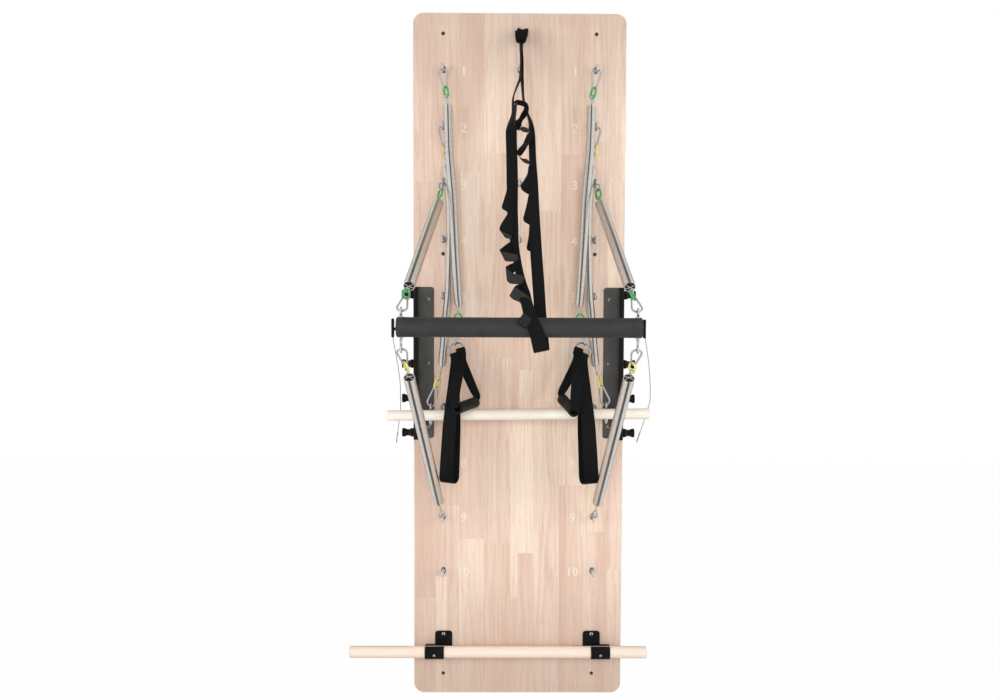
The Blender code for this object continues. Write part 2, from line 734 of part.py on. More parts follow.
def double_strap(side, s):
    """A long foot loop and a short hand loop, sewn side by side round the ring's bar."""
    wrap = WIRE_R + 2 * GAP + STRAP_T / 2
    shift = (STRAP_W - SEW) / 2
    top = ring_point(s, shift, BAR_UP) + ring_up(s) * wrap
    length = (LOOP_BOTTOM[s] - top).length
    drift = LOOP_BOTTOM[s] - (top - ring_up(s) * length)
    wide = LOOP_BACK[s].cross(Z) * s
    stations = []
    for flat in subdivided(pear(Vector(), X, Y, length, wrap, LOOP_BOTTOM_R, 6, 6), STRAP_STEP):
        down = min(1, max(0, (flat.x - STRAP_HOLD) / LOOP_WIDENS))
        sway = max(0, (flat.x - STRAP_HOLD) / (length - STRAP_HOLD))
        point = top - ring_up(s) * flat.x + drift * sway + Y.lerp(LOOP_BACK[s], down) * flat.y
        stations.append((point, ring_out(s).lerp(wide, down), STRAP_W + (LOOP_W - STRAP_W) * down))
    strap = ribbon(f"strap_{side}", stations, STRAP_T, True, WEBBING)

    hand_bar = ring_point(s, -shift, BAR_UP)
    near, far, axis = GRIP_NEAR[s], GRIP_FAR[s], grip_axis(s)
    out, flat = ring_out(s), axis.cross(Z).normalized()
    flat = flat if flat.dot(out) > 0 else -flat
    bore = GRIP_BORE_R * math.cos(math.pi / GRIP_SIDES) - GAP
    seat = math.sqrt(bore ** 2 - (GRIP_STRAP_W / 2) ** 2) - STRAP_T / 2
    up = axis.cross(flat)
    inside = (up if up.z > 0 else -up) * (seat - 2 * GAP)
    over = [math.radians(a) for a in range(-90, 91, 30)]
    over_r = wrap + HAND_LIFT
    hand = [(hand_bar + (Y * math.sin(a) + ring_up(s) * math.cos(a)) * over_r, out, STRAP_W) for a in over]
    hand += [
        (hand_bar + Vector((0, wrap + HAND_BACK, -HAND_FALL)), out, STRAP_W),
        (far + axis * BEND_OUT + Z * BEND_HIGH, flat, STRAP_W),
        (far + axis * BEND_OUT + Z * BEND_LOW, flat, BEND_W),
        (far + axis * BEND_IN + inside, flat, GRIP_STRAP_W),
        (far - axis * SEAT_INSET + inside, flat, GRIP_STRAP_W),
        (near + axis * SEAT_INSET + inside, flat, GRIP_STRAP_W),
        (near - axis * BEND_IN + inside, flat, GRIP_STRAP_W),
        (near - axis * BEND_OUT + Z * BEND_LOW, flat, BEND_W),
        (near - axis * BEND_OUT + Z * BEND_HIGH, flat, STRAP_W),
        (hand_bar + Vector((0, -wrap - HAND_FRONT, -HAND_FALL)), out, STRAP_W),
    ]
    combine(strap, ribbon(f"hand_loop_{side}", hand, STRAP_T, True), "UNION", "MANIFOLD")
    put_origin(strap, ring_point(s, 0, RING_RISE + RING_R))


def grip(side, s):
    """A foam tube on the hand loop."""
    middle = (GRIP_NEAR[s] + GRIP_FAR[s]) / 2
    start = middle - grip_axis(s) * GRIP_LENGTH / 2
    profile = [(0, GRIP_R), (GRIP_LENGTH, GRIP_R), (GRIP_LENGTH, GRIP_BORE_R), (0, GRIP_BORE_R)]
    tube_grip = lathe(f"grip_{side}", start, grip_axis(s), profile, GRIP_SIDES, loop=True, finish=FOAM)
    put_origin(tube_grip, ring_point(s, 0, RING_RISE + RING_R))


def roll_point(x, up):
    return Vector((x * math.cos(ROLL_TILT), ROLL_Y, ROLL_Z + x * math.sin(ROLL_TILT) + up))


def rolldown_spring(side, s):
    """Row 2 eyebolt, hook, spring bowed past the eyebolts below it, and hook to the roll-down bar."""
    eye = Vector((s * COLUMN_X, EYE_Y, row_z(2)))
    route = sided(ROLLDOWN_ROUTE, s)
    top, bottom = route[0], route[-1]
    snap_hook(f"hook_rolldown_top_{side}", inside_ring(eye, EYE_R, top - eye), top, X)
    spring(f"spring_rolldown_{side}", route, THIN_COIL_R, THIN_CURLS)
    eye = roll_point(s * SCREW_EYE_X, SCREW_EYE_RISE)
    start = inside_ring(eye, SCREW_EYE_R, Z)
    put_origin(snap_hook(f"hook_rolldown_low_{side}", start, bottom, X), eye)


def rolldown_bar():
    """A dowel with two screw eyes through it."""
    half = ROLL_LENGTH / 2
    bar = rod("rolldown_bar", roll_point(-half, 0), roll_point(half, 0), ROLL_R, 16, DOWEL)
    for side, s in SIDES.items():
        x = s * SCREW_EYE_X
        centre = roll_point(x, SCREW_EYE_RISE)
        ring = tube(f"screw_eye_{side}", circle(centre, SCREW_EYE_R, Y, Z, EYE_POINTS), WIRE_R, closed=True)
        base = roll_point(x, -ROLL_R - SCREW_STUB)
        neck = SCREW_STUB + 2 * ROLL_R
        total = centre.z - SCREW_EYE_R - base.z
        profile = [(0, SHANK_R), (neck - SEW, SHANK_R), (neck - SEW, SCREW_WASHER_R),
                   (neck + SEW, SCREW_WASHER_R), (neck + SEW, SHANK_R), (total, SHANK_R)]
        join(bar, ring, lathe(f"screw_{side}", base, Z, profile, SHANK_SIDES))
    put_origin(bar, (0, ROLL_Y, ROLL_Z))


def bar_springs(side, s):
    """The upper springs from row 3 and the lower springs from row 9, both to the bar."""
    upper_eye = Vector((s * COLUMN_X, EYE_Y, row_z(3)))
    ring = bar_eye_centre(s, 1)
    way = (ring - upper_eye).normalized()
    start = inside_ring(ring, BAR_EYE_R, -way)
    top = upper_eye + way * UPPER_LINK_REACH
    bottom = ring - way * UPPER_HOOK_REACH
    link_start = upper_eye + way * (EYE_R - SEW)
    outline = pear(link_start, way, X, UPPER_LINK_LENGTH, UPPER_LINK_R, UPPER_LINK_R, 4, 4)
    link = tube(f"upper_link_{side}", outline, WIRE_R, closed=True)
    stem = rod(f"upper_stem_{side}", link_start + way * (UPPER_LINK_LENGTH + WIRE_R - SEW),
               top - way * GAP, STEM_R, SHANK_SIDES)
    eyebolt(f"eyebolt_row3_{side}", upper_eye.x, upper_eye.z, link, stem)
    spring(f"spring_upper_{side}", [top, top.lerp(bottom, 0.5), bottom], THICK_COIL_R, THICK_CURLS)
    put_origin(snap_hook(f"hook_upper_{side}", start, bottom, X), PIVOT)

    lower_eye = Vector((s * COLUMN_X, EYE_Y, row_z(9)))
    ring = bar_eye_centre(s, -1)
    way = (ring - lower_eye).normalized()
    start = inside_ring(ring, BAR_EYE_R, -way)
    bottom = lower_eye + way * (EYE_R + WIRE_R + GAP)
    top = ring - way * LOWER_HOOK_REACH
    spring(f"spring_lower_{side}", [bottom, bottom.lerp(top, 0.5), top], THICK_COIL_R, THICK_CURLS)
    put_origin(snap_hook(f"hook_lower_{side}", start, top, X), PIVOT)


def foot_bar():
    bar = rod("foot_bar", (FOOT_LEFT_X, FOOT_Y, FOOT_Z), (FOOT_RIGHT_X, FOOT_Y, FOOT_Z), FOOT_R, 16, DOWEL)
    put_origin(bar, (0, FOOT_Y, FOOT_Z))


def foot_bracket(side, s):
    """A plate on the board and a round clamp, which stands further out, on the bar."""
    back = FRONT - GAP
    outline = rounded_rectangle(FOOT_PLATE_W, FOOT_PLATE_H, FOOT_PLATE_CORNER_R, 3)
    plate = prism(f"foot_bracket_{side}", outline, (s * FOOT_PLATE_X, back, FOOT_Z + FOOT_PLATE_RISE),
                  (0, -FOOT_PLATE_T, 0), BLACK)
    half = CLAMP_W / 2
    clamp = rod(f"clamp_{side}", (s * CLAMP_X - half, FOOT_Y, FOOT_Z), (s * CLAMP_X + half, FOOT_Y, FOOT_Z),
                CLAMP_R, 16)
    low, high = FOOT_Z - CLAMP_R * CLAMP_PAD, FOOT_Z + CLAMP_R * CLAMP_PAD
    pad_outline = [(-half, 0, low), (half, 0, low), (half, 0, high), (-half, 0, high)]
    pad = prism(f"clamp_pad_{side}", pad_outline, (s * CLAMP_X, back, 0), (0, FOOT_Y - back, 0))
    bore = rod(f"clamp_bore_{side}", (s * CLAMP_X - CLAMP_W, FOOT_Y, FOOT_Z),
               (s * CLAMP_X + CLAMP_W, FOOT_Y, FOOT_Z), FOOT_R + GAP, 16)
    cut(join(plate, clamp, pad), bore)


def stretch_strap():
    """A band over the top centre eyebolt, whose two strands meet round the push-through bar."""
    saddle = STRAP_ROW_Z - EYE_R
    corner_drop = math.sqrt((EYE_R - WIRE_R - GAP) ** 2 - (STRETCH_TUCK / 2) ** 2)
    wrap = EYE_R - corner_drop + STRETCH_T / 2
    slant = wrap * math.sin(math.radians(45))
    front = BAR_Y - FOAM_R - STRETCH_CLEAR
    rear = BAR_Y + FOAM_R + STRETCH_CLEAR
    w = STRETCH_W
    turned = (X - Y).normalized()
    stations = [
        ((0, EYE_Y, saddle + wrap), Y, STRETCH_TUCK),
        ((-slant, EYE_Y, saddle + slant), Y, STRETCH_TUCK),
        ((-wrap, EYE_Y, saddle), Y, STRETCH_TUCK),
        ((-0.0040, EYE_Y - 0.008, saddle - 0.015), Y, 0.012),
        ((-0.0015, -0.0860, 0.8900), Y, 0.020),
        ((-0.0010, -0.1262, 0.8231), Y, 0.026),
        ((-0.0025, -0.1634, 0.7610), Y, 0.027),
        ((-0.0190, -0.1950, 0.7080), Y, 0.028),
        ((-0.0276, -0.2528, 0.6120), turned, w),
        ((-0.0193, -0.2955, 0.5408), X, w),
        ((-0.0187, -0.3614, 0.4310), X, w),
        ((-0.0105, -0.4398, 0.3003), X, w),
        ((0.0050, -0.4848, 0.2253), X, w),
        ((0.0170, -0.5230, 0.1750), X, w),
        ((0.0270, front, 0.1300), X, w),
        ((0.0370, front, 0.1000), X, w),
        ((0.0450, BAR_Y - 0.014, 0.0640), X, w),
        ((0.0465, BAR_Y, 0.0580), X, w),
        ((0.0475, BAR_Y + 0.014, 0.0640), X, w),
        ((0.0485, rear, 0.1000), X, w),
        ((0.0485, rear, 0.1300), X, w),
        ((0.0435, -0.4920, 0.2133), X, w),
        ((0.0395, -0.4396, 0.3006), X, w),
        ((0.0368, -0.3612, 0.4313), X, w),
        ((0.0345, -0.3037, 0.5272), X, w),
        ((0.0317, -0.2526, 0.6124), turned, 0.026),
        ((0.0200, -0.2228, 0.6620), Y, 0.026),
        ((0.0080, -0.1950, 0.7080), Y, 0.027),
        ((0.0045, -0.1634, 0.7610), Y, 0.027),
        ((0.0045, -0.1262, 0.8231), Y, 0.026),
        ((0.0045, -0.0860, 0.8900), Y, 0.020),
        ((0.0040, EYE_Y - 0.008, saddle - 0.015), Y, 0.012),
        ((wrap, EYE_Y, saddle), Y, STRETCH_TUCK),
        ((slant, EYE_Y, saddle + slant), Y, STRETCH_TUCK),
    ]
    ribbon("stretch_strap", stations, STRETCH_T, True, WEBBING)


def build():
    for obj in list(bpy.data.objects):
        bpy.data.objects.remove(obj)
    back_board()
    eyebolt("eyebolt_strap", 0, STRAP_ROW_Z)
    push_bar_frame()
    foam_sleeve()
    rolldown_bar()
    foot_bar()
    stretch_strap()
    for side, s in SIDES.items():
        side_bracket(side, s)
        for row in range(1, SPOOL_COUNT + 1):
            if row != PIVOT_SPOOL:
                spool(f"spool_{side}_{row}", s, row)
        bar_eye(side, s)
        t_pin(side, s)
        lanyard(side)
        eyebolt(f"eyebolt_row1_{side}", s * COLUMN_X, row_z(1))
        eyebolt(f"eyebolt_row2_{side}", s * COLUMN_X, row_z(2))
        eyebolt(f"eyebolt_row9_{side}", s * COLUMN_X, row_z(9))
        handle_spring(side, s)
        rolldown_spring(side, s)
        bar_springs(side, s)
        d_ring(side, s)
        double_strap(side, s)
        grip(side, s)
        foot_bracket(side, s)


build()
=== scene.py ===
"""Pilates wall unit: the looks of its board, fittings, springs, straps and bars.

Metres, +Z up. The origin is the centre of the board's back face, and the front faces -Y.
Left is -X, as someone facing the board sees it.
"""

import math
import random

import bmesh
import bpy
import numpy as np
from mathutils import Matrix, Vector


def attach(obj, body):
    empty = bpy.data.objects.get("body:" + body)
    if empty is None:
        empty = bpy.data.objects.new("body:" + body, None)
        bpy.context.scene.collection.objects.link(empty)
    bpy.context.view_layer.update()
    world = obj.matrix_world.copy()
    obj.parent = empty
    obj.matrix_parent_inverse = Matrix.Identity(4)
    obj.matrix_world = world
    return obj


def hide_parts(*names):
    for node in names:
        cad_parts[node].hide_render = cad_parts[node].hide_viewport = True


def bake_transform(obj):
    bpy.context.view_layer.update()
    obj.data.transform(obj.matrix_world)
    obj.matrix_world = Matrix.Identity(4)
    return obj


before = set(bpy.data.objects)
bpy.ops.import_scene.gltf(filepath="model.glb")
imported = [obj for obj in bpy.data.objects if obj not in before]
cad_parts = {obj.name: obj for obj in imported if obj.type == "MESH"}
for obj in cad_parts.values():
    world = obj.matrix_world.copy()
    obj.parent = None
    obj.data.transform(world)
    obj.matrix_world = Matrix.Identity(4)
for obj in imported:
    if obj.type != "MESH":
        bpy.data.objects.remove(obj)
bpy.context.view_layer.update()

X, Y, Z = Vector((1, 0, 0)), Vector((0, 1, 0)), Vector((0, 0, 1))
SIDES = {"left": -1, "right": 1}
GAP = 0.0003  # between pieces that touch
BOARD_W = 0.61
BOARD_H = 1.98
BOARD_CORNER_R = 0.03
FRONT = -0.028
MOUNT_X = 0.2195
MOUNT_ROWS_Z = (0.9325, 0.305, -0.31, -0.9325)
MOUNT_HOLE_R = 0.0055
COLUMN_X = 0.219
ROW_1_Z = 0.83
ROW_PITCH = 0.1615
STRAP_ROW_Z = 0.932
NUMBER_X = 0.16
NUMBER_DROP = 0.005
NUMBER_SIZE = 0.037
EYE_Y = -0.058
DEEPER_ROW = 8  # screwed further in, so that the pulled roll-down bar passes
DEEPER = 0.005
EYE_R = 0.0095
WIRE_R = 0.0025
SHANK_R = 0.003
PIVOT_Y, PIVOT_Z = -0.0477, 0.0875
BRACKET_X = 0.3025
BRACKET_W = 0.0565
BRACKET_H = 0.44
BRACKET_TOP_Z = 0.209
BRACKET_DEPTH = 0.04
BRACKET_SHEET = 0.003
BRACKET_SCREW_X = 0.2627
BRACKET_SCREWS_Z = (0.1735, -0.012, -0.1963)
SPOOL_PITCH = 0.0999
PIVOT_SPOOL = 2
HUB_IN_X = 0.3366
HUB_OUT_X = 0.3491
BAR_Y, BAR_Z = -0.55, 0.111
FOAM_R = 0.024
FOAM_HALF = 0.2945
BAR_EYE_X = 0.284
BAR_EYE_RISE = 0.0375
BAR_EYE_R = 0.0085
LOWER_EYE_DROP = 0.014  # how much lower the ring under the bar hangs
STRAP_T = 0.0026
GRIP_R = 0.0155
GRIP_BORE_R = 0.0095
ROLL_Y, ROLL_Z, ROLL_R = -0.084, -0.1553, 0.015
ROLL_TILT = math.radians(0.6)
ROLL_LENGTH = 0.751
SCREW_EYE_X = 0.2515
SCREW_EYE_RISE = 0.0255
SCREW_EYE_R = 0.0075
FOOT_Y, FOOT_Z, FOOT_R = -0.0498, -0.8605, 0.0172
FOOT_LEFT_X = -0.492
FOOT_LENGTH = 0.871
FOOT_PLATE_X = 0.218
FOOT_PLATE_RISE = 0.0173
CLAMP_X = 0.243
CLAMP_W = 0.056
CLAMP_R = 0.0207
SET_SCREW_ANGLE = math.radians(11)
RIBBON_POINTS = 6  # across one face of a band
LANYARD_ROUTES = {
    "left": [(-0.3625, -0.049, 0.0627), (-0.3595, -0.052, 0.0443), (-0.3478, -0.055, -0.019),
             (-0.342, -0.057, -0.063), (-0.3404, -0.058, -0.1027), (-0.3406, -0.058, -0.1461),
             (-0.3451, -0.057, -0.1811), (-0.3496, -0.056, -0.2162)],
    "right": [(0.3655, -0.049, 0.0627), (0.3706, -0.052, 0.0298), (0.3765, -0.055, -0.0163),
              (0.3802, -0.0575, -0.07), (0.3802, -0.058, -0.1146), (0.3747, -0.058, -0.1379),
              (0.3657, -0.058, -0.1693), (0.3511, -0.056, -0.2139)],
}
HANDLE_ROUTE = [(0.2034, -0.068, 0.7265), (0.1995, -0.086, 0.612), (0.1955, -0.091, 0.555),
                (0.1865, -0.0925, 0.442), (0.182, -0.0925, 0.343), (0.1737, -0.0925, 0.2),
                (0.17, -0.092, 0.152)]
ROLLDOWN_ROUTE = [(0.2092, -0.0635, 0.5555), (0.202, -0.0545, 0.5), (0.1976, -0.052, 0.442),
                  (0.197, -0.056, 0.343), (0.2005, -0.064, 0.2003), (0.2066, -0.074, 0.1231),
                  (0.2145, -0.0845, 0.0225), (0.2185, -0.085, -0.0171)]
RING_X = {-1: 0.1725, 1: 0.176}
RING_Z = {-1: 0.0167, 1: 0.018}
RING_LEAN = {-1: math.radians(16), 1: math.radians(22)}
RING_R, RING_RISE = 0.0245, 0.01
GRIP_NEAR = {-1: Vector((-0.168, -0.222, -0.1226)), 1: Vector((0.1512, -0.222, -0.1297))}
GRIP_FAR = {-1: Vector((-0.1233, -0.12, -0.1165)), 1: Vector((0.1245, -0.12, -0.1075))}
LOOP_BOTTOM = {-1: Vector((-0.195, -0.148, -0.34)), 1: Vector((0.1995, -0.146, -0.342))}
LOOP_BACK = {-1: Vector((0.5, 0.866, 0)), 1: Vector((-0.42, 0.907, 0))}


def linked(name, data):
    """A new object in the scene."""
    obj = bpy.data.objects.new(name, data)
    bpy.context.scene.collection.objects.link(obj)
    return obj


# Camera

CAMERA = Vector((-0.011, -3.0, 0.19855))
YAW, PITCH, ROLL = 0.0095, 0.05764, 0.00448
FORWARD = Vector((math.sin(YAW) * math.cos(PITCH), math.cos(YAW) * math.cos(PITCH), -math.sin(PITCH)))
LEVEL = Vector((math.cos(YAW), -math.sin(YAW), 0))
RIGHT = LEVEL * math.cos(ROLL) + LEVEL.cross(FORWARD) * math.sin(ROLL)
UP = RIGHT.cross(FORWARD)
FOCAL = 1023.22
AXIS_X, AXIS_Y = 524.6, 350


def seen(px, py, y):
    """The point at depth y that the photograph shows at a pixel of its 1000 by 700."""
    ray = FORWARD + RIGHT * ((px - AXIS_X) / FOCAL) - UP * ((py - AXIS_Y) / FOCAL)
    return CAMERA + ray * ((y - CAMERA.y) / ray.y)


def add_camera():
    data = bpy.data.cameras.new("camera")
    data.sensor_width = 36
    data.lens = FOCAL * 36 / 1000
    data.shift_x = (500 - AXIS_X) / 1000
    camera = linked("camera", data)
    matrix = Matrix((RIGHT, UP, -FORWARD)).transposed().to_4x4()
    matrix.translation = CAMERA
    camera.matrix_world = matrix
    bpy.context.scene.camera = camera


# Shapes

def square_to(direction):
    a = direction.cross(Z if abs(direction.normalized().z) < 0.9 else X).normalized()
    return a, direction.cross(a).normalized()


def tangents(points, closed):
    found = []
    for i, point in enumerate(points):
        before = points[i - 1] if closed or i else point
        after = points[(i + 1) % len(points)] if closed or i + 1 < len(points) else point
        found.append((after - before).normalized())
    return found


def smooth_path(route, spacing, closed=False):
    """Evenly spaced points on a smooth curve through a route's own points, of any dimension."""
    route = np.array([tuple(p) for p in route], float)
    if closed:
        ends = np.vstack([route[-1], route, route[:2]])
    else:
        ends = np.vstack([route[0] * 2 - route[1], route, route[-1] * 2 - route[-2]])
    dense = []
    for p0, p1, p2, p3 in zip(ends, ends[1:], ends[2:], ends[3:]):
        for i in range(24):
            t = i / 24
            dense.append(0.5 * (p1 * 2 + (p2 - p0) * t + (p0 * 2 - p1 * 5 + p2 * 4 - p3) * t ** 2
                                + (p1 * 3 - p0 - p2 * 3 + p3) * t ** 3))
    dense.append(ends[-2])
    dense = np.array(dense)
    reached = np.concatenate([[0], np.cumsum(np.linalg.norm(np.diff(dense[:, :3], axis=0), axis=1))])
    count = max(2, round(reached[-1] / spacing))
    wanted = np.linspace(0, reached[-1], count + 1)
    even = np.array([np.interp(wanted, reached, dense[:, k]) for k in range(dense.shape[1])]).T
    return even[:-1] if closed else even


class Shape:
    """Points and faces of one piece, with a material number and a UV for each face's corners."""

    def __init__(self):
        self.points, self.faces, self.slots, self.corners = [], [], [], []

    def add(self, points, faces, slot=0, corners=None):
        base = len(self.points)
        self.points += [tuple(p) for p in points]
        self.faces += [tuple(base + i for i in face) for face in faces]
        self.slots += [slot] * len(faces)
        self.corners += corners or [[(0, 0)] * len(face) for face in faces]
        return self

    def skin(self, rings, closed=False, slot=0, corners=None):
        count = len(rings[0])
        faces = []
        for i in range(len(rings) if closed else len(rings) - 1):
            a, b = i * count, (i + 1) % len(rings) * count
            for j in range(count):
                k = (j + 1) % count
                faces.append((a + j, a + k, b + k, b + j))
        if not closed:
            faces.append(tuple(reversed(range(count))))
            faces.append(tuple(range((len(rings) - 1) * count, len(rings) * count)))
        return self.add([p for ring in rings for p in ring], faces, slot, corners)

    def tube(self, points, radius, sides=12, closed=False, slot=0):
        """A round tube along points. radius is one number or one for each point."""
        points = [Vector(p) for p in points]
        radii = radius if isinstance(radius, list) else [radius] * len(points)
        rings, across = [], None
        for point, along, r in zip(points, tangents(points, closed), radii):
            across = square_to(along)[0] if across is None else across
            across = (across - along * across.dot(along)).normalized()
            up = along.cross(across)
            rings.append(circle(point, r, across, up, sides))
        return self.skin(rings, closed, slot)

    def lathe(self, base, axis, profile, sides=32, loop=False, slot=0, jitter=0, seed=1):
        """Turns (distance along the axis, radius) stations."""
        across, up = square_to(axis)
        dice = random.Random(seed)
        rings = []
        for s, r in profile:
            ring = []
            for j in range(sides):
                a = 2 * math.pi * (j + 0.5) / sides
                reach = r + dice.uniform(-jitter, jitter)
                ring.append(Vector(base) + axis * s + (across * math.cos(a) + up * math.sin(a)) * reach)
            rings.append(ring)
        return self.skin(rings, loop, slot)

    def rod(self, start, end, radius, sides=16):
        start, end = Vector(start), Vector(end)
        length = (end - start).length
        return self.lathe(start, (end - start).normalized(), [(0, radius), (length, radius)], sides)

    def ball(self, centre, radius, axis=Z, squeeze=1.0):
        profile = [(-radius * squeeze * math.cos(a), max(1e-5, radius * math.sin(a)))
                   for a in (math.pi * i / 10 for i in range(11))]
        return self.lathe(centre, axis, profile, 16)

    def prism(self, outline, place, shift, slot=0):
        base = [Vector(place) + Vector(p) for p in outline]
        return self.skin([base, [p + Vector(shift) for p in base]], False, slot)

    def ribbon(self, stations, thickness, closed=True, slot=0, slanted=False):
        """A flat band with soft edges through (point, direction of its width, width) stations.

        A slanted band keeps those directions where they aren't square to its run.
        """
        points = [Vector(p) for p, _, _ in stations]
        t = thickness / 2
        section = [(-1 + 2 * i / (RIBBON_POINTS - 1), 1) for i in range(RIBBON_POINTS)]
        section = section + [(1.02, 0)] + [(x, -1) for x, _ in reversed(section)] + [(-1.02, 0)]
        rings, lengths, reached = [], [], 0.0
        for i, (point, along, (_, wide, width)) in enumerate(zip(points, tangents(points, closed), stations)):
            reached += (point - points[i - 1]).length if i else 0
            lengths.append(reached)
            wide = Vector(wide)
            wide = wide if slanted else (wide - along * wide.dot(along)).normalized()
            thick = along.cross(wide).normalized()
            rings.append([point + wide * (a * width / 2) + thick * (b * t * (0.8 if abs(a) == 1 else 1))
                          for a, b in section])
        count = len(section)
        corners = []
        for i in range(len(rings) if closed else len(rings) - 1):
            n = (i + 1) % len(rings)
            u0, u1 = lengths[i], lengths[n] if n else reached + (points[0] - points[-1]).length
            for j in range(count):
                k = (j + 1) % count
                v0, v1 = section[j][0] * stations[i][2] / 2, section[k][0] * stations[i][2] / 2
                corners.append([(u0, v0), (u0, v1), (u1, v1), (u1, v0)])
        if not closed:
            corners += [[(0, 0)] * count] * 2
        return self.skin(rings, closed, slot, corners)


def round_edges(obj, width, segments, angle):
    modifier = obj.modifiers.new("rounded_edges", "BEVEL")
    modifier.width = width
    modifier.segments = segments
    modifier.limit_method = "ANGLE"
    modifier.angle_limit = math.radians(angle)


def make(name, shape, materials, sharp=35, bevel=0.0):
    mesh = bpy.data.meshes.new(name)
    mesh.from_pydata(shape.points, [], shape.faces)
    layer = mesh.uv_layers.new(name="UVMap")
    flat = [c for face in shape.corners for corner in face for c in corner]
    layer.data.foreach_set("uv", flat)
    mesh.polygons.foreach_set("material_index", shape.slots)
    cleaner = bmesh.new()
    cleaner.from_mesh(mesh)
    bmesh.ops.recalc_face_normals(cleaner, faces=cleaner.faces)
    cleaner.to_mesh(mesh)
    cleaner.free()
    mesh.polygons.foreach_set("use_smooth", [True] * len(mesh.polygons))
    mesh.set_sharp_from_angle(angle=math.radians(sharp))
    for material in materials if isinstance(materials, list) else [materials]:
        mesh.materials.append(material)
    obj = linked(name, mesh)
    if bevel:
        round_edges(obj, bevel, 2, 50)
    return obj


def put(obj, body, slot, *nodes):
    """Rides on a body and stands for CAD nodes. The slot argument is not used."""
    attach(obj, body)
    if nodes:
        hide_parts(*nodes)
    return obj


def rounded_rectangle(width, height, radius, steps):
    outline = []
    for i, (sx, sz) in enumerate(((1, 1), (-1, 1), (-1, -1), (1, -1))):
        centre = Vector((sx * (width / 2 - radius), 0, sz * (height / 2 - radius)))
        for j in range(steps + 1):
            a = math.pi / 2 * (i + j / steps)
            outline.append(centre + Vector((math.cos(a), 0, math.sin(a))) * radius)
    return outline


def circle(centre, radius, across, up, count):
    return [Vector(centre) + (across * math.cos(a) + up * math.sin(a)) * radius
            for a in (2 * math.pi * i / count for i in range(count))]


def pear(start, along, across, length, start_r, end_r, steps, end_steps):
    run = length - start_r - end_r
    lean = math.acos((start_r - end_r) / run)
    first = start + along * start_r
    last = first + along * run
    points = []
    for centre, radius, a0, a1, count in ((last, end_r, -lean, lean, end_steps),
                                          (first, start_r, lean, 2 * math.pi - lean, steps)):
        for i in range(count + 1):
            a = a0 + (a1 - a0) * i / count
            points.append(centre + (along * math.cos(a) + across * math.sin(a)) * radius)
    return points


def row_z(row):
    return ROW_1_Z - ROW_PITCH * (row - 1)


def sided(route, s):
    return [Vector((s * x, y, z)) for x, y, z in route]


# Materials

def add_node(tree, kind, inputs=None, **settings):
    """A node with its settings, whose inputs are values or sockets to link from."""
    node = tree.nodes.new(kind)
    for key, value in settings.items():
        setattr(node, key, value)
    for key, value in (inputs or {}).items():
        if isinstance(value, bpy.types.NodeSocket):
            tree.links.new(value, node.inputs[key])
        else:
            node.inputs[key].default_value = value
    return node


class Paint:
    """A Principled material and short calls for its nodes."""

    def __init__(self, name, color, roughness, metallic=0.0, **more):
        self.material = bpy.data.materials.new(name)
        self.material.use_nodes = True
        self.tree = self.material.node_tree
        self.shader = self.tree.nodes["Principled BSDF"]
        for key, value in {"Base Color": (*color, 1), "Roughness": roughness, "Metallic": metallic,
                           **more}.items():
            self.shader.inputs[key].default_value = value

    def add(self, kind, inputs=None, **settings):
        return add_node(self.tree, kind, inputs, **settings)

    def math(self, operation, a, b=0.0):
        return self.add("ShaderNodeMath", {0: a, 1: b}, operation=operation).outputs[0]

    def place(self, scale):
        coordinates = self.add("ShaderNodeTexCoord").outputs["Object"]
        return self.add("ShaderNodeMapping", {"Vector": coordinates, "Scale": scale}).outputs[0]

    def noise(self, scale, size, detail):
        return self.add("ShaderNodeTexNoise", {"Vector": self.place(scale), "Scale": size,
                                               "Detail": detail}).outputs["Fac"]

    def spread(self, value, low, high):
        return self.add("ShaderNodeMapRange", {"Value": value, "From Min": 0.3, "From Max": 0.7,
                                               "To Min": low, "To Max": high}).outputs[0]

    def blend(self, factor, a, b):
        node = self.add("ShaderNodeMix", {0: factor}, data_type="RGBA")
        for socket, value in ((node.inputs[6], a), (node.inputs[7], b)):
            if isinstance(value, bpy.types.NodeSocket):
                self.tree.links.new(value, socket)
            else:
                socket.default_value = (*value, 1)
        return node.outputs[2]

    def wear(self, noise, share, color, other, shine=None):
        """Mixes in another colour, and spreads the roughness, where the noise is high."""
        self.link(self.blend(self.spread(noise, 0.0, share), color, other), "Base Color")
        if shine:
            self.link(self.spread(noise, *shine), "Roughness")

    def link(self, socket, name):
        self.tree.links.new(socket, self.shader.inputs[name])

    def bump(self, height, strength, distance):
        bump = self.add("ShaderNodeBump", {"Height": height, "Strength": strength, "Distance": distance})
        self.link(bump.outputs[0], "Normal")


STAVE_W = 0.07


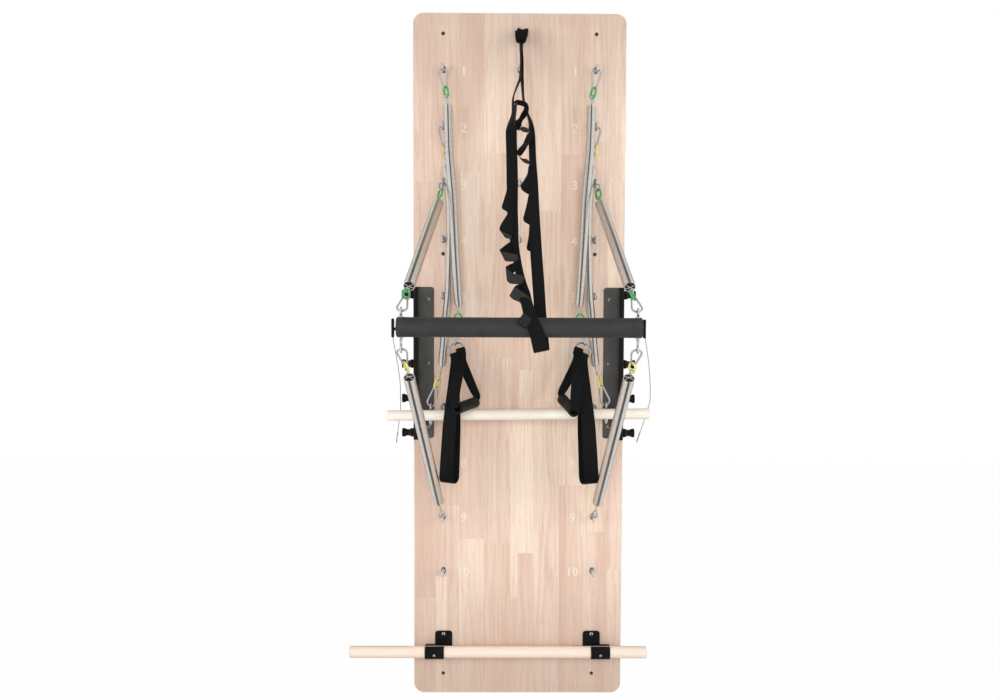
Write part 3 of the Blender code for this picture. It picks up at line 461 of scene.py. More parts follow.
def board_wood():
    """Upright staves with butt joints, each of its own tone, with streaks and fine grain."""
    paint = Paint("laminated_wood", (0.78, 0.57, 0.43), 0.45)
    coordinates = paint.add("ShaderNodeTexCoord").outputs["Object"]
    parts = paint.add("ShaderNodeSeparateXYZ", {0: coordinates})
    x, z = parts.outputs[0], parts.outputs[2]

    def cells(place, size, output="W", feature="F1"):
        return paint.add("ShaderNodeTexVoronoi", {"W": place, "Scale": 1 / size, "Randomness": 0.45},
                         voronoi_dimensions="1D", feature=feature).outputs[output]

    column = cells(x, STAVE_W)
    chance = paint.add("ShaderNodeTexWhiteNoise", {"W": column}, noise_dimensions="1D").outputs["Value"]
    run = paint.math("ADD", z, paint.math("MULTIPLY", chance, 5.0))
    piece = cells(run, 0.55)
    number = paint.math("ADD", paint.math("MULTIPLY", column, 17.0), piece)
    tone = paint.add("ShaderNodeTexWhiteNoise", {"W": number}, noise_dimensions="1D").outputs["Value"]
    ramp = paint.add("ShaderNodeValToRGB", {0: tone})
    ramp.color_ramp.elements[0].color = (0.6, 0.415, 0.33, 1)
    ramp.color_ramp.elements[1].color = (0.96, 0.8, 0.64, 1)
    for place, color in ((0.26, (0.8, 0.58, 0.46, 1)), (0.5, (0.94, 0.735, 0.565, 1)),
                         (0.75, (0.82, 0.68, 0.57, 1))):
        ramp.color_ramp.elements.new(place).color = color
    offset = paint.add("ShaderNodeCombineXYZ", {0: paint.math("MULTIPLY", tone, 3.0),
                                                2: paint.math("MULTIPLY", tone, 9.0)})
    shifted = paint.add("ShaderNodeVectorMath", {0: coordinates, 1: offset.outputs[0]}, operation="ADD")

    def streaks(scale, detail):
        mapped = paint.add("ShaderNodeMapping", {"Vector": shifted.outputs[0], "Scale": scale}).outputs[0]
        return paint.add("ShaderNodeTexNoise", {"Vector": mapped, "Scale": 1.0, "Detail": detail,
                                                "Distortion": 0.4}).outputs["Fac"]

    wide, fine, pores = streaks((26, 26, 1.8), 5.0), streaks((130, 130, 6), 4.0), streaks((420, 420, 16), 2.0)
    color = paint.blend(paint.spread(wide, 0.0, 0.62), ramp.outputs[0], (0.66, 0.44, 0.35))
    color = paint.blend(paint.spread(streaks((9, 9, 1.1), 3.0), 0.0, 0.62), color, (0.97, 0.83, 0.66))
    mapped = paint.add("ShaderNodeMapping", {"Vector": shifted.outputs[0], "Scale": (1, 1, 0.085)}).outputs[0]
    rings = paint.add("ShaderNodeTexWave", {"Vector": mapped, "Scale": 17.0, "Distortion": 16.0,
                                            "Detail": 3.0, "Detail Scale": 1.3},
                      bands_direction="X").outputs["Fac"]
    figured = paint.math("MULTIPLY", paint.math("POWER", rings, 3.0), paint.spread(wide, 0.1, 0.52))
    color = paint.blend(figured, color, (0.66, 0.4, 0.3))
    color = paint.blend(paint.spread(fine, 0.0, 0.3), color, (0.68, 0.45, 0.34))
    pits = paint.math("MULTIPLY", paint.math("GREATER_THAN", pores, 0.62), 0.3)
    color = paint.blend(pits, color, (0.52, 0.33, 0.25))
    seam = paint.math("LESS_THAN", cells(x, STAVE_W, "Distance", "DISTANCE_TO_EDGE"), 0.01)
    color = paint.blend(paint.math("MULTIPLY", seam, 0.18), color, (0.5, 0.33, 0.25))
    # Painted shade: the board is darkened towards its top and bottom ends, where the light falls off.
    low = paint.add("ShaderNodeMapRange", {0: z, 1: -0.55, 2: -0.99},
                    interpolation_type="SMOOTHSTEP").outputs[0]
    high = paint.add("ShaderNodeMapRange", {0: z, 1: 0.55, 2: 0.99},
                     interpolation_type="SMOOTHSTEP").outputs[0]
    ends = paint.math("ADD", paint.math("MULTIPLY", low, 1.45), paint.math("MULTIPLY", high, 1.3))
    painted_end_shade = paint.math("MULTIPLY", ends, 0.34)
    color = paint.blend(painted_end_shade, color, (0.42, 0.29, 0.235))
    paint.link(color, "Base Color")
    paint.link(paint.spread(fine, 0.4, 0.52), "Roughness")
    paint.bump(fine, 0.12, 0.0004)
    return paint.material


def dowel_wood(name, color):
    paint = Paint(name, color, 0.42)
    grain = paint.noise((3, 260, 260), 1.0, 3.0)
    wide = paint.noise((2, 40, 40), 1.0, 2.0)
    darker = tuple(c * f for c, f in zip(color, (0.88, 0.82, 0.75)))
    shade = paint.blend(paint.spread(wide, 0.0, 0.35), color, darker)
    shade = paint.blend(paint.spread(grain, 0.0, 0.3), shade, darker)
    paint.link(shade, "Base Color")
    paint.link(paint.spread(grain, 0.36, 0.48), "Roughness")
    paint.bump(grain, 0.1, 0.0003)
    return paint.material


def powder_coat(name="powder_coat", color=(0.0045, 0.0045, 0.0048)):
    paint = Paint(name, color, 0.32, **{"Specular IOR Level": 0.2})
    speckle = paint.noise((1, 1, 1), 1400, 2.0)
    wear = paint.noise((1, 1, 1), 24, 4.0)
    paint.wear(wear, 0.5, color, tuple(c * 1.7 for c in color), (0.34, 0.46))
    paint.bump(speckle, 0.25, 0.0003)
    return paint.material


def foam_rubber(name, color, shine=0.28):
    paint = Paint(name, color, 0.55, **{"Specular IOR Level": shine})
    cells = paint.add("ShaderNodeTexVoronoi",
                      {"Vector": paint.place((1, 1, 1)), "Scale": 900}).outputs["Distance"]
    patches = paint.noise((1, 1, 1), 60, 4.0)
    paint.wear(patches, 0.6, color, tuple(c * 1.65 for c in color), (0.44, 0.6))
    paint.bump(paint.math("ADD", cells, paint.math("MULTIPLY", patches, 0.6)), 0.5, 0.0006)
    return paint.material


def webbing(name, color, pitch):
    """A flat weave that follows the band's own length and width."""
    paint = Paint(name, color, 0.62, **{"Specular IOR Level": 0.07})
    parts = paint.add("ShaderNodeSeparateXYZ", {0: paint.add("ShaderNodeTexCoord").outputs["UV"]})
    along, across = parts.outputs[0], parts.outputs[1]
    lengthwise = paint.math("SINE", paint.math("MULTIPLY", along, 2 * math.pi / pitch))
    ribs = paint.math("SINE", paint.math("MULTIPLY", across, 2 * math.pi / (pitch * 0.7)))
    weave = paint.math("MULTIPLY", lengthwise, ribs)
    worn = paint.noise((1, 1, 1), 45, 4.0)
    lighter = tuple(c * 2.2 for c in color)
    shade = paint.blend(paint.math("MULTIPLY", paint.math("ADD", weave, 1.0), 0.3), color, lighter)
    paint.wear(worn, 0.4, shade, lighter, (0.52, 0.7))
    paint.bump(weave, 0.5, 0.0005)
    return paint.material


def metal(name, color, low, high):
    paint = Paint(name, color, low, 1.0)
    smudge = paint.noise((1, 1, 1), 90, 4.0)
    paint.wear(smudge, 0.35, color, tuple(c * 0.86 for c in color), (low, high))
    paint.bump(smudge, 0.05, 0.0002)
    return paint.material


def enamel(name, color):
    paint = Paint(name, color, 0.28, 0.0, **{"Coat Weight": 0.5, "Coat Roughness": 0.12})
    chips = paint.noise((1, 1, 1), 160, 4.0)
    worn = tuple(min(1, c * 0.65 + 0.06) for c in color)
    paint.wear(chips, 0.35, color, worn, (0.22, 0.38))
    paint.bump(chips, 0.08, 0.0002)
    return paint.material


def wire_rope():
    paint = Paint("wire_rope", (0.42, 0.42, 0.43), 0.35, 1.0)
    twist = paint.add("ShaderNodeTexWave",
                      {"Vector": paint.place((260, 260, 520)), "Scale": 1.0, "Distortion": 0.6},
                      wave_type="BANDS", bands_direction="DIAGONAL").outputs["Fac"]
    paint.link(paint.blend(twist, (0.16, 0.16, 0.16), (0.62, 0.62, 0.63)), "Base Color")
    paint.bump(twist, 0.6, 0.0004)
    return paint.material


def number_paint():
    color = (0.9, 0.765, 0.64)
    paint = Paint("number_paint", color, 0.5)
    worn = paint.noise((1, 1, 1), 70, 3.0)
    paint.wear(worn, 0.4, color, (0.87, 0.7, 0.56))
    paint.bump(worn, 0.05, 0.0002)
    return paint.material


WOOD = board_wood()
DOWEL = dowel_wood("pale_dowel", (1.0, 0.93, 0.82))
FOOT_DOWEL = dowel_wood("foot_dowel", (0.95, 0.8, 0.69))
COAT = powder_coat()
# A lighter copy of the black powder coat for the bracket plates: painted glare on the same coat.
COAT_PAINTED_GLARE = powder_coat("powder_coat_painted_glare", (0.078, 0.076, 0.071))
FOAM = foam_rubber("closed_cell_foam", (0.026, 0.026, 0.0265))
GRIP_FOAM = foam_rubber("grip_foam", (0.006, 0.0062, 0.0066), 0.12)
WEBBING = webbing("black_webbing", (0.005, 0.005, 0.0052), 0.0024)
ELASTIC = webbing("black_elastic", (0.005, 0.005, 0.0052), 0.0016)
ELASTIC_PALE = webbing("elastic_underside", (0.024, 0.022, 0.021), 0.0016)
THREAD = webbing("stitch_thread", (0.11, 0.11, 0.115), 0.001)
STEEL = metal("bright_steel", (0.58, 0.58, 0.59), 0.1, 0.2)
SPRING_STEEL = metal("spring_steel", (0.66, 0.63, 0.59), 0.17, 0.22)
# A dark core inside the springs: painted shade in their hollow insides.
SPRING_CORE_SHADE = metal("spring_core_painted_shade", (0.1, 0.09, 0.085), 0.5, 0.6)
# Dark brownish steel. On the mounting screws and the hex socket floors, its darkness is painted shade.
DARK_STEEL_AND_SHADE = metal("dark_steel_and_painted_shade", (0.2, 0.14, 0.115), 0.45, 0.6)
GREEN = enamel("green_enamel", (0.022, 0.4, 0.085))
YELLOW = enamel("yellow_enamel", (0.82, 0.72, 0.2))
ROPE = wire_rope()
NUMBERS = number_paint()


# Lanyards

def lanyard(side):
    route = smooth_path(LANYARD_ROUTES[side], 0.006)
    data = bpy.data.curves.new(f"lanyard_wire_{side}", "CURVE")
    data.dimensions = "3D"
    data.bevel_depth = 0.001
    data.bevel_resolution = 3
    data.use_fill_caps = True
    line = data.splines.new("POLY")
    line.points.add(len(route) - 1)
    for spot, point in zip(line.points, route):
        spot.co = (*point, 1)
    data.materials.append(ROPE)
    wire = linked(f"lanyard_wire_{side}", data)

    end, way = Vector(route[-1]), (Vector(route[-1]) - Vector(route[-2])).normalized()
    sleeve = Shape()
    sleeve.lathe(end - way * 0.006, way, [(0, 0.0012), (0.001, 0.0022), (0.011, 0.0022), (0.012, 0.0012)], 16)
    loop = pear(end + way * 0.006, way, square_to(way)[0], 0.019, 0.0035, 0.0062, 10, 14)
    sleeve.tube(loop, 0.0009, 8, True, 1)
    end_piece = put(make(f"lanyard_end_{side}", sleeve, [STEEL, ROPE]), f"lock_pin_{side}", "lanyard_wire")
    put(wire, f"lock_pin_{side}", "lanyard_wire", f"lanyard_{side}")


# Board

def hollow(obj, cutters):
    """Cuts the shapes out of the mesh for good."""
    for cutter in cutters:
        modifier = obj.modifiers.new("cut", "BOOLEAN")
        modifier.operation = "DIFFERENCE"
        modifier.solver = "EXACT"
        modifier.object = cutter
    bpy.context.view_layer.update()
    graph = bpy.context.evaluated_depsgraph_get()
    mesh = bpy.data.meshes.new_from_object(obj.evaluated_get(graph))
    obj.modifiers.clear()
    obj.data = mesh
    for cutter in cutters:
        bpy.data.objects.remove(cutter)


def back_board():
    shape = Shape().prism(rounded_rectangle(BOARD_W, BOARD_H, BOARD_CORNER_R, 12), (0, 0, 0), (0, FRONT, 0))
    board = make("wood_board", shape, WOOD)
    cutters, screws = [], Shape()
    for x in (-MOUNT_X, MOUNT_X):
        for z in MOUNT_ROWS_Z:
            bore = Shape().rod((x, 0.01, z), (x, FRONT - 0.01, z), MOUNT_HOLE_R, 24)
            cutters.append(make("cutter", bore, WOOD))
            screws.lathe((x, FRONT + 0.008, z), Y, [(0, 0.0014), (0, 0.0046), (0.002, 0.005), (0.006, 0.005)],
                         20)
            screws.rod((x, FRONT + 0.012, z), (x, -0.001, z), 0.003, 12)
    hollow(board, cutters)
    round_edges(board, 0.0016, 3, 60)
    put(board, "root", "board", "back_board")
    # The screws deep in the bores are dark brown: painted shade of the shaded bores.
    put(make("mounting_screws", screws, DARK_STEEL_AND_SHADE), "root", "steel")


def row_numbers():
    shape = Shape()
    for s in SIDES.values():
        for row in range(1, 11):
            text = bpy.data.curves.new("number", "FONT")
            text.body = str(row)
            text.size = NUMBER_SIZE
            text.align_x, text.align_y = "CENTER", "CENTER"
            text.extrude = 0.00015
            text.resolution_u = 3
            letters = linked("number", text)
            bpy.context.view_layer.update()
            graph = bpy.context.evaluated_depsgraph_get()
            mesh = bpy.data.meshes.new_from_object(letters.evaluated_get(graph))
            x, z = s * NUMBER_X, row_z(row) - NUMBER_DROP
            points = [(x + v.co.x, FRONT - 0.0001 - v.co.z, z + v.co.y) for v in mesh.vertices]
            shape.add(points, [tuple(p.vertices) for p in mesh.polygons])
            bpy.data.objects.remove(letters)
    put(make("row_numbers", shape, NUMBERS), "root", "board")


def screw_head(shape, place, axis, radius, height):
    """A button head with a hex socket."""
    shape.lathe(place, axis, [(0, radius), (height * 0.35, radius), (height * 0.8, radius * 0.8),
                              (height, radius * 0.52), (height, radius * 0.46),
                              (height * 0.5, radius * 0.44)], 20)
    # A dark hex floor in the socket: painted shade in the recess.
    shape.lathe(Vector(place) + axis * height * 0.45, axis,
                [(0, radius * 0.44), (height * 0.1, radius * 0.44)], 6, slot=1)


def eye_shape(shape, x, z, y=EYE_Y):
    """A ring with its shank, collar nut and washer against the board."""
    shape.tube(circle((x, y, z), EYE_R, Y, Z, 28), WIRE_R, 10, True)
    start = y + EYE_R + 0.0005
    face = FRONT - start
    shape.lathe((x, start, z), Y, [(0, 0.0031), (face, 0.0031)], 14)
    shape.lathe((x, FRONT, z), -Y, [(0, 0.0098), (0.0011, 0.01), (0.0015, 0.0094), (0.0016, 0.0055)], 24)
    shape.lathe((x, FRONT - 0.0016, z), -Y,
                [(0, 0.0054), (0.004, 0.0058), (0.0062, 0.0044), (0.0066, 0.0032)], 6)
    shape.ball((x, start - 0.0002, z), 0.0042, Y, squeeze=0.8)
    return shape


def eyebolts():
    for side, s in SIDES.items():
        for row in range(1, 11):
            y = EYE_Y + DEEPER if row == DEEPER_ROW else EYE_Y
            bolt = make(f"eye_row{row}_{side}", eye_shape(Shape(), s * COLUMN_X, row_z(row), y), STEEL)
            nodes = [f"eyebolt_row{row}_{side}"] if row in (1, 2, 3, 9) else []
            put(bolt, "root", "steel", *nodes)
    for i, z in enumerate((STRAP_ROW_Z, *(row_z(row) for row in range(1, 5)))):
        bolt = make(f"eye_centre_{i + 1}", eye_shape(Shape(), 0, z), STEEL)
        put(bolt, "root", "steel", *(["eyebolt_strap"] if i == 0 else []))


# Brackets, spools and the push-through bar

SPOOL_PROFILE = [(0, 0.0045), (0, 0.0118), (0.0007, 0.0125), (0.0073, 0.0125), (0.008, 0.0119),
                 (0.0132, 0.0096), (0.0138, 0.0093), (0.0197, 0.0093), (0.0203, 0.0096), (0.0255, 0.0119),
                 (0.0262, 0.0125), (0.0328, 0.0125), (0.0335, 0.0118), (0.0335, 0.0045)]


def brackets():
    for side, s in SIDES.items():
        shape = Shape()
        middle = (s * (BRACKET_X - BRACKET_W / 2), FRONT - GAP, BRACKET_TOP_Z - BRACKET_H / 2)
        # The back plate takes the lighter coat, which is painted glare.
        shape.prism(rounded_rectangle(BRACKET_W, BRACKET_H, 0.008, 8), middle, (0, -BRACKET_SHEET, 0), slot=1)
        bend, inner = 0.0045, 0.0015
        section = [(BRACKET_X, 0)]
        for i in range(7):
            a = math.pi / 2 * i / 6
            section.append((BRACKET_X - bend + bend * math.cos(a),
                            -BRACKET_DEPTH + bend - bend * math.sin(a)))
        section += [(0.2884, -0.04), (0.288, -0.0396), (0.288, -0.0374), (0.2884, -0.037)]
        for i in range(7):
            a = math.pi / 2 * (1 - i / 6)
            section.append((BRACKET_X - bend + inner * math.cos(a),
                            -BRACKET_DEPTH + bend - inner * math.sin(a)))
        section.append((BRACKET_X - BRACKET_SHEET, 0))
        foot = (0, FRONT - GAP, BRACKET_TOP_Z - BRACKET_H)
        shape.prism([(s * x, y, 0) for x, y in section], foot, (0, 0, BRACKET_H))
        pivot = [(d + 0.0013, r) for d, r in SPOOL_PROFILE]
        shape.lathe((s * (BRACKET_X - 0.001), PIVOT_Y, PIVOT_Z), X * s, pivot, 32)
        bracket = make(f"bracket_{side}", shape, [COAT, COAT_PAINTED_GLARE], bevel=0.0006)
        put(bracket, "root", "powder_coat", f"side_bracket_{side}")
        for row in (1, 3, 4, 5):
            base = (s * (BRACKET_X + GAP), PIVOT_Y, PIVOT_Z + SPOOL_PITCH * (PIVOT_SPOOL - row))
            shape = Shape().lathe(base, X * s, SPOOL_PROFILE, 40)
            shape.lathe(base, X * s, [(0.03, 0.0046), (0.0315, 0.0046)], 20)
            put(make(f"peg_{side}_{row}", shape, COAT), "root", "powder_coat", f"spool_{side}_{row}")
        for i, z in enumerate(BRACKET_SCREWS_Z):
            shape = Shape()
            screw_head(shape, (s * BRACKET_SCREW_X, FRONT - GAP - BRACKET_SHEET, z), -Y, 0.005, 0.003)
            put(make(f"bracket_screw_{side}_{i + 1}", shape, [STEEL, DARK_STEEL_AND_SHADE]), "root", "steel")


def push_bar():
    frame_shape = Shape()
    frame_shape.rod((-FOAM_HALF + 0.001, BAR_Y, BAR_Z), (FOAM_HALF - 0.001, BAR_Y, BAR_Z), 0.0125, 32)
    for side, s in SIDES.items():
        rear = Vector((s * (HUB_IN_X + HUB_OUT_X) / 2, PIVOT_Y, PIVOT_Z))
        front = Vector((s * 0.27, BAR_Y, BAR_Z))
        way = (front - rear).normalized()
        start = rear + way * 0.0165
        frame_shape.tube([start, start + way * 0.003, start + way * 0.005, start + way * 0.009, front],
                         [0.009, 0.01, 0.0105, 0.011, 0.011], 28)
        weld = circle(start + way * 0.0018, 0.0098, *square_to(way), 36)
        frame_shape.tube(weld, [0.0016 + 0.0005 * math.sin(i * 2.1) for i in range(36)], 8, True)
        frame_shape.lathe((s * HUB_IN_X, PIVOT_Y, PIVOT_Z), X * s,
                          [(0, 0.0047), (0, 0.0172), (0.0008, 0.018), (0.0117, 0.018), (0.0125, 0.0172),
                           (0.0125, 0.0047)], 40)
    put(make("bar_frame", frame_shape, COAT), "push_bar", "powder_coat", "push_bar_frame")

    steps = 56  # rings along the sleeve
    profile = [(0, 0.013), (0, FOAM_R - 0.0022), (0.0007, FOAM_R - 0.0008), (0.0022, FOAM_R)]
    profile += [(0.0022 + (2 * FOAM_HALF - 0.0044) * i / steps, FOAM_R) for i in range(1, steps)]
    profile += [(2 * FOAM_HALF - d, r) for d, r in reversed(profile[:4])]
    shape = Shape().lathe((-FOAM_HALF, BAR_Y, BAR_Z), X, profile, 48, jitter=0.00016, seed=3)
    sleeve = make("foam_grip", shape, FOAM, 50)
    put(sleeve, "push_bar", "foam", "foam_sleeve")

    for side, s in SIDES.items():
        shape = Shape()
        x = s * BAR_EYE_X
        for way in (1, -1):
            rise = BAR_EYE_RISE if way > 0 else BAR_EYE_RISE + LOWER_EYE_DROP
            shape.tube(circle((x, BAR_Y, BAR_Z + way * rise), BAR_EYE_R, Y, Z, 28), WIRE_R, 10, True)
            shape.ball((x, BAR_Y, BAR_Z + way * (FOAM_R + 0.0058)), 0.0043, Z, squeeze=0.8)
            shape.lathe((x, BAR_Y, BAR_Z + way * FOAM_R), Z * way,
                        [(-0.0004, 0.0068), (0.0012, 0.007), (0.0018, 0.0062), (0.002, 0.0035)], 24)
        shank_end = BAR_Z - BAR_EYE_RISE - LOWER_EYE_DROP + BAR_EYE_R
        shape.rod((x, BAR_Y, shank_end), (x, BAR_Y, BAR_Z + FOAM_R + 0.003), SHANK_R, 14)
        put(make(f"ring_bolt_{side}", shape, STEEL), "push_bar", "steel", f"bar_eye_{side}")

        pin = Shape()
        pin_x = Vector((s * (HUB_OUT_X - 0.035), PIVOT_Y, PIVOT_Z))
        pin.lathe(pin_x, X * s, [(0, 0.003), (0.001, 0.004), (0.0353, 0.004), (0.0353, 0.0052),
                                 (0.0361, 0.0056), (0.038, 0.0056), (0.0388, 0.005), (0.045, 0.0045),
                                 (0.0493, 0.0047)], 24)
        middle = Vector((s * (HUB_OUT_X + GAP + 0.014), PIVOT_Y, PIVOT_Z + 0.003))
        half = 0.0275
        end = [(half, 0.001), (half - 0.0004, 0.003), (half - 0.002, 0.0043), (half - 0.006, 0.0045)]
        bar = [(-d, r) for d, r in end] + [(0, 0.0043)] + end[::-1]
        pin.lathe(middle, Z, bar, 24)
        foot = Vector(LANYARD_ROUTES[side][0])
        crimp = [middle - Z * (half - 0.004), foot + Z * 0.0015, foot - Z * 0.001]
        pin.tube(crimp, [0.0022, 0.0019, 0.0014], 12, slot=1)
        lock = make(f"lock_handle_{side}", pin, [COAT, DARK_STEEL_AND_SHADE])
        put(lock, f"lock_pin_{side}", "powder_coat", f"t_pin_{side}")


# Hooks, links and springs

HOOK_LENGTH = 0.056
LINK_R = 0.0095
BEAD_PLACE = 0.35  # share of the stem


def snap_hook(name, start, end, across, color, body, node, link_length=0.031, link_turn=38):
    """A pear snap hook with its gate, a coloured oval link and a swivel on a short stem."""
    along = (end - start).normalized()
    across = (across - along * across.dot(along)).normalized()
    square = along.cross(across)
    turn = math.radians(link_turn)
    link_across = square * math.cos(turn) + across * math.sin(turn)
    outline = pear(start, along, across, HOOK_LENGTH, 0.0125, 0.006, 22, 12)
    shape = Shape()
    gate = {share: outline[-1].lerp(outline[0], share) for share in (0.06, 0.07, 0.1, 0.8, 0.86)}
    opening_a, opening_b = gate[0.1], gate[0.8]
    shape.tube([gate[0.86]] + outline + [gate[0.07]], WIRE_R, 12)
    gate_way = (opening_b - opening_a).normalized()
    gate_run = (opening_b - opening_a).length
    shape.lathe(opening_a, gate_way, [(0, 0.0012), (0.0006, 0.0023), (gate_run - 0.0006, 0.0023),
                                      (gate_run, 0.0018)], 12)
    shape.lathe(opening_b - square * 0.0034, square, [(0, 0.001), (0.0004, 0.0017), (0.0064, 0.0017),
                                                      (0.0068, 0.001)], 10)
    shape.ball(gate[0.06], 0.0029, gate_way)
    link_start = start + along * (HOOK_LENGTH - 2 * WIRE_R + 0.0014)
    shape.tube(pear(link_start, along, link_across, link_length, LINK_R, LINK_R, 16, 16), 0.0029, 12, True, 1)
    link_end = link_start + along * link_length
    run = (end - link_end).length
    eye = link_end - along * 0.0035
    shape.tube(circle(eye, 0.0042, along, across, 16), 0.0016, 8, True)
    bead = run * BEAD_PLACE
    shape.lathe(link_end, along, [(-0.001, 0.002), (bead - 0.003, 0.002), (bead - 0.0026, 0.0036),
                                  (bead, 0.0044), (bead + 0.003, 0.0036), (bead + 0.0034, 0.0019),
                                  (run - GAP, 0.0019)], 16)
    put(make(name, shape, [STEEL, color]), body, "steel", node)


def wound(shape, route, coil_r, wire_r, pitch, tapers, rise):
    """Close turns of wire, which stands out by rise, along a route. Each end closes in over its taper."""
    axis = smooth_path(route, 0.004)
    steps = np.diff(axis, axis=0)
    reached = np.concatenate([[0], np.cumsum(np.linalg.norm(steps, axis=1))])
    length = reached[-1]
    per_turn, sides = 12, 6
    count = round(length / pitch * per_turn)
    place = np.linspace(0, length, count + 1)
    centre = np.array([np.interp(place, reached, axis[:, k]) for k in range(3)]).T
    along = np.gradient(centre, axis=0)
    along /= np.linalg.norm(along, axis=1)[:, None]
    side = np.cross(along, (0.0, 1.0, 0.0))
    side /= np.linalg.norm(side, axis=1)[:, None]
    up = np.cross(along, side)
    turn = np.arange(count + 1) * 2 * math.pi / per_turn
    reach = np.full(count + 1, coil_r - rise)
    for taper, distance in ((tapers[0], place), (tapers[1], length - place)):
        if taper:
            share = np.clip(distance / taper, 0, 1)
            reach = np.minimum(reach, 0.0022 + (coil_r - rise - 0.0022) * np.sqrt(share * (2 - share)))
    out = side * np.cos(turn)[:, None] + up * np.sin(turn)[:, None]
    # A dark tube along the inside of the turns: painted shade in the spring's hollow.
    inside = [Vector(p) for p in centre[::per_turn]]
    shape.tube(inside, [max(0.0008, r - 0.5 * rise) for r in reach[::per_turn].tolist()], 16, slot=1)
    path = centre + out * reach[:, None]
    angle = np.arange(sides) * 2 * math.pi / sides
    rings = (path[:, None, :] + rise * out[:, None, :] * np.cos(angle)[None, :, None]
             + wire_r * along[:, None, :] * np.sin(angle)[None, :, None])
    shape.skin([[tuple(p) for p in ring] for ring in rings])


def thin_spring(name, route, node):
    shape = Shape()
    wound(shape, route, 0.01265, 0.00172, 0.00345, (0.012, 0.016), 0.00125)
    for end, inner in ((route[0], route[1]), (route[-1], route[-2])):
        way = (Vector(inner) - Vector(end)).normalized()
        shape.lathe(end, way, [(-0.0015, 0.0014), (0, 0.0022), (0.004, 0.0024), (0.008, 0.002)], 12)
    spring = make(name, shape, [SPRING_STEEL, SPRING_CORE_SHADE], 60)
    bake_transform(spring)
    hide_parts(node)


def thick_spring(name, start, end, node, open_start):
    """A fatter spring. Its far end, and its start if open, show the wire that crosses them."""
    shape = Shape()
    way = (end - start).normalized()
    first = start + way * (0.004 if open_start else 0.0)
    last = end - way * 0.004
    middle = first.lerp(last, 0.5)
    tapers = (0 if open_start else 0.004, 0)
    wound(shape, [first, middle, last], 0.015, 0.00122, 0.0024, tapers, 0.00042)
    across, up = square_to(way)
    for point, inward, is_open in ((start, way, open_start), (end, -way, True)):
        if is_open:
            rim = point + inward * 0.004
            shape.tube(circle(rim, 0.0136, across, up, 32), 0.0013, 8, True)
            for turn in (0.5, -0.5):
                arm = (across * math.cos(turn) + up * math.sin(turn)) * 0.013
                shape.tube([rim + arm, rim + arm * 0.6 - inward * 0.0012, point + arm * 0.15,
                            point - arm * 0.15, rim - arm * 0.6 - inward * 0.0012, rim - arm], 0.0012, 8)
            shape.lathe(point, inward, [(-0.002, 0.0014), (-0.0008, 0.003), (0.003, 0.003), (0.0042, 0.0016)],
                        14)
        else:
            shape.lathe(point, inward, [(0, 0.0014), (0.003, 0.0026), (0.008, 0.0024)], 12)
    spring = make(name, shape, [SPRING_STEEL, SPRING_CORE_SHADE], 60)
    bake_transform(spring)
    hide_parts(node)


def ring_up(s):
    return Vector((s * math.sin(RING_LEAN[s]), 0, math.cos(RING_LEAN[s])))


def ring_out(s):
    return Vector((s * math.cos(RING_LEAN[s]), 0, -math.sin(RING_LEAN[s])))


def ring_point(s, out, up):
    return Vector((s * RING_X[s], -0.1, RING_Z[s])) + ring_out(s) * out + ring_up(s) * up


def roll_point(x, up):
    return Vector((x * math.cos(ROLL_TILT), ROLL_Y, ROLL_Z + x * math.sin(ROLL_TILT) + up))


def inside_ring(centre, ring_r, way):
    way = Vector((0, way.y, way.z)).normalized()
    return centre + way * (ring_r * math.cos(math.pi / 10) - 2 * WIRE_R - 0.0006)


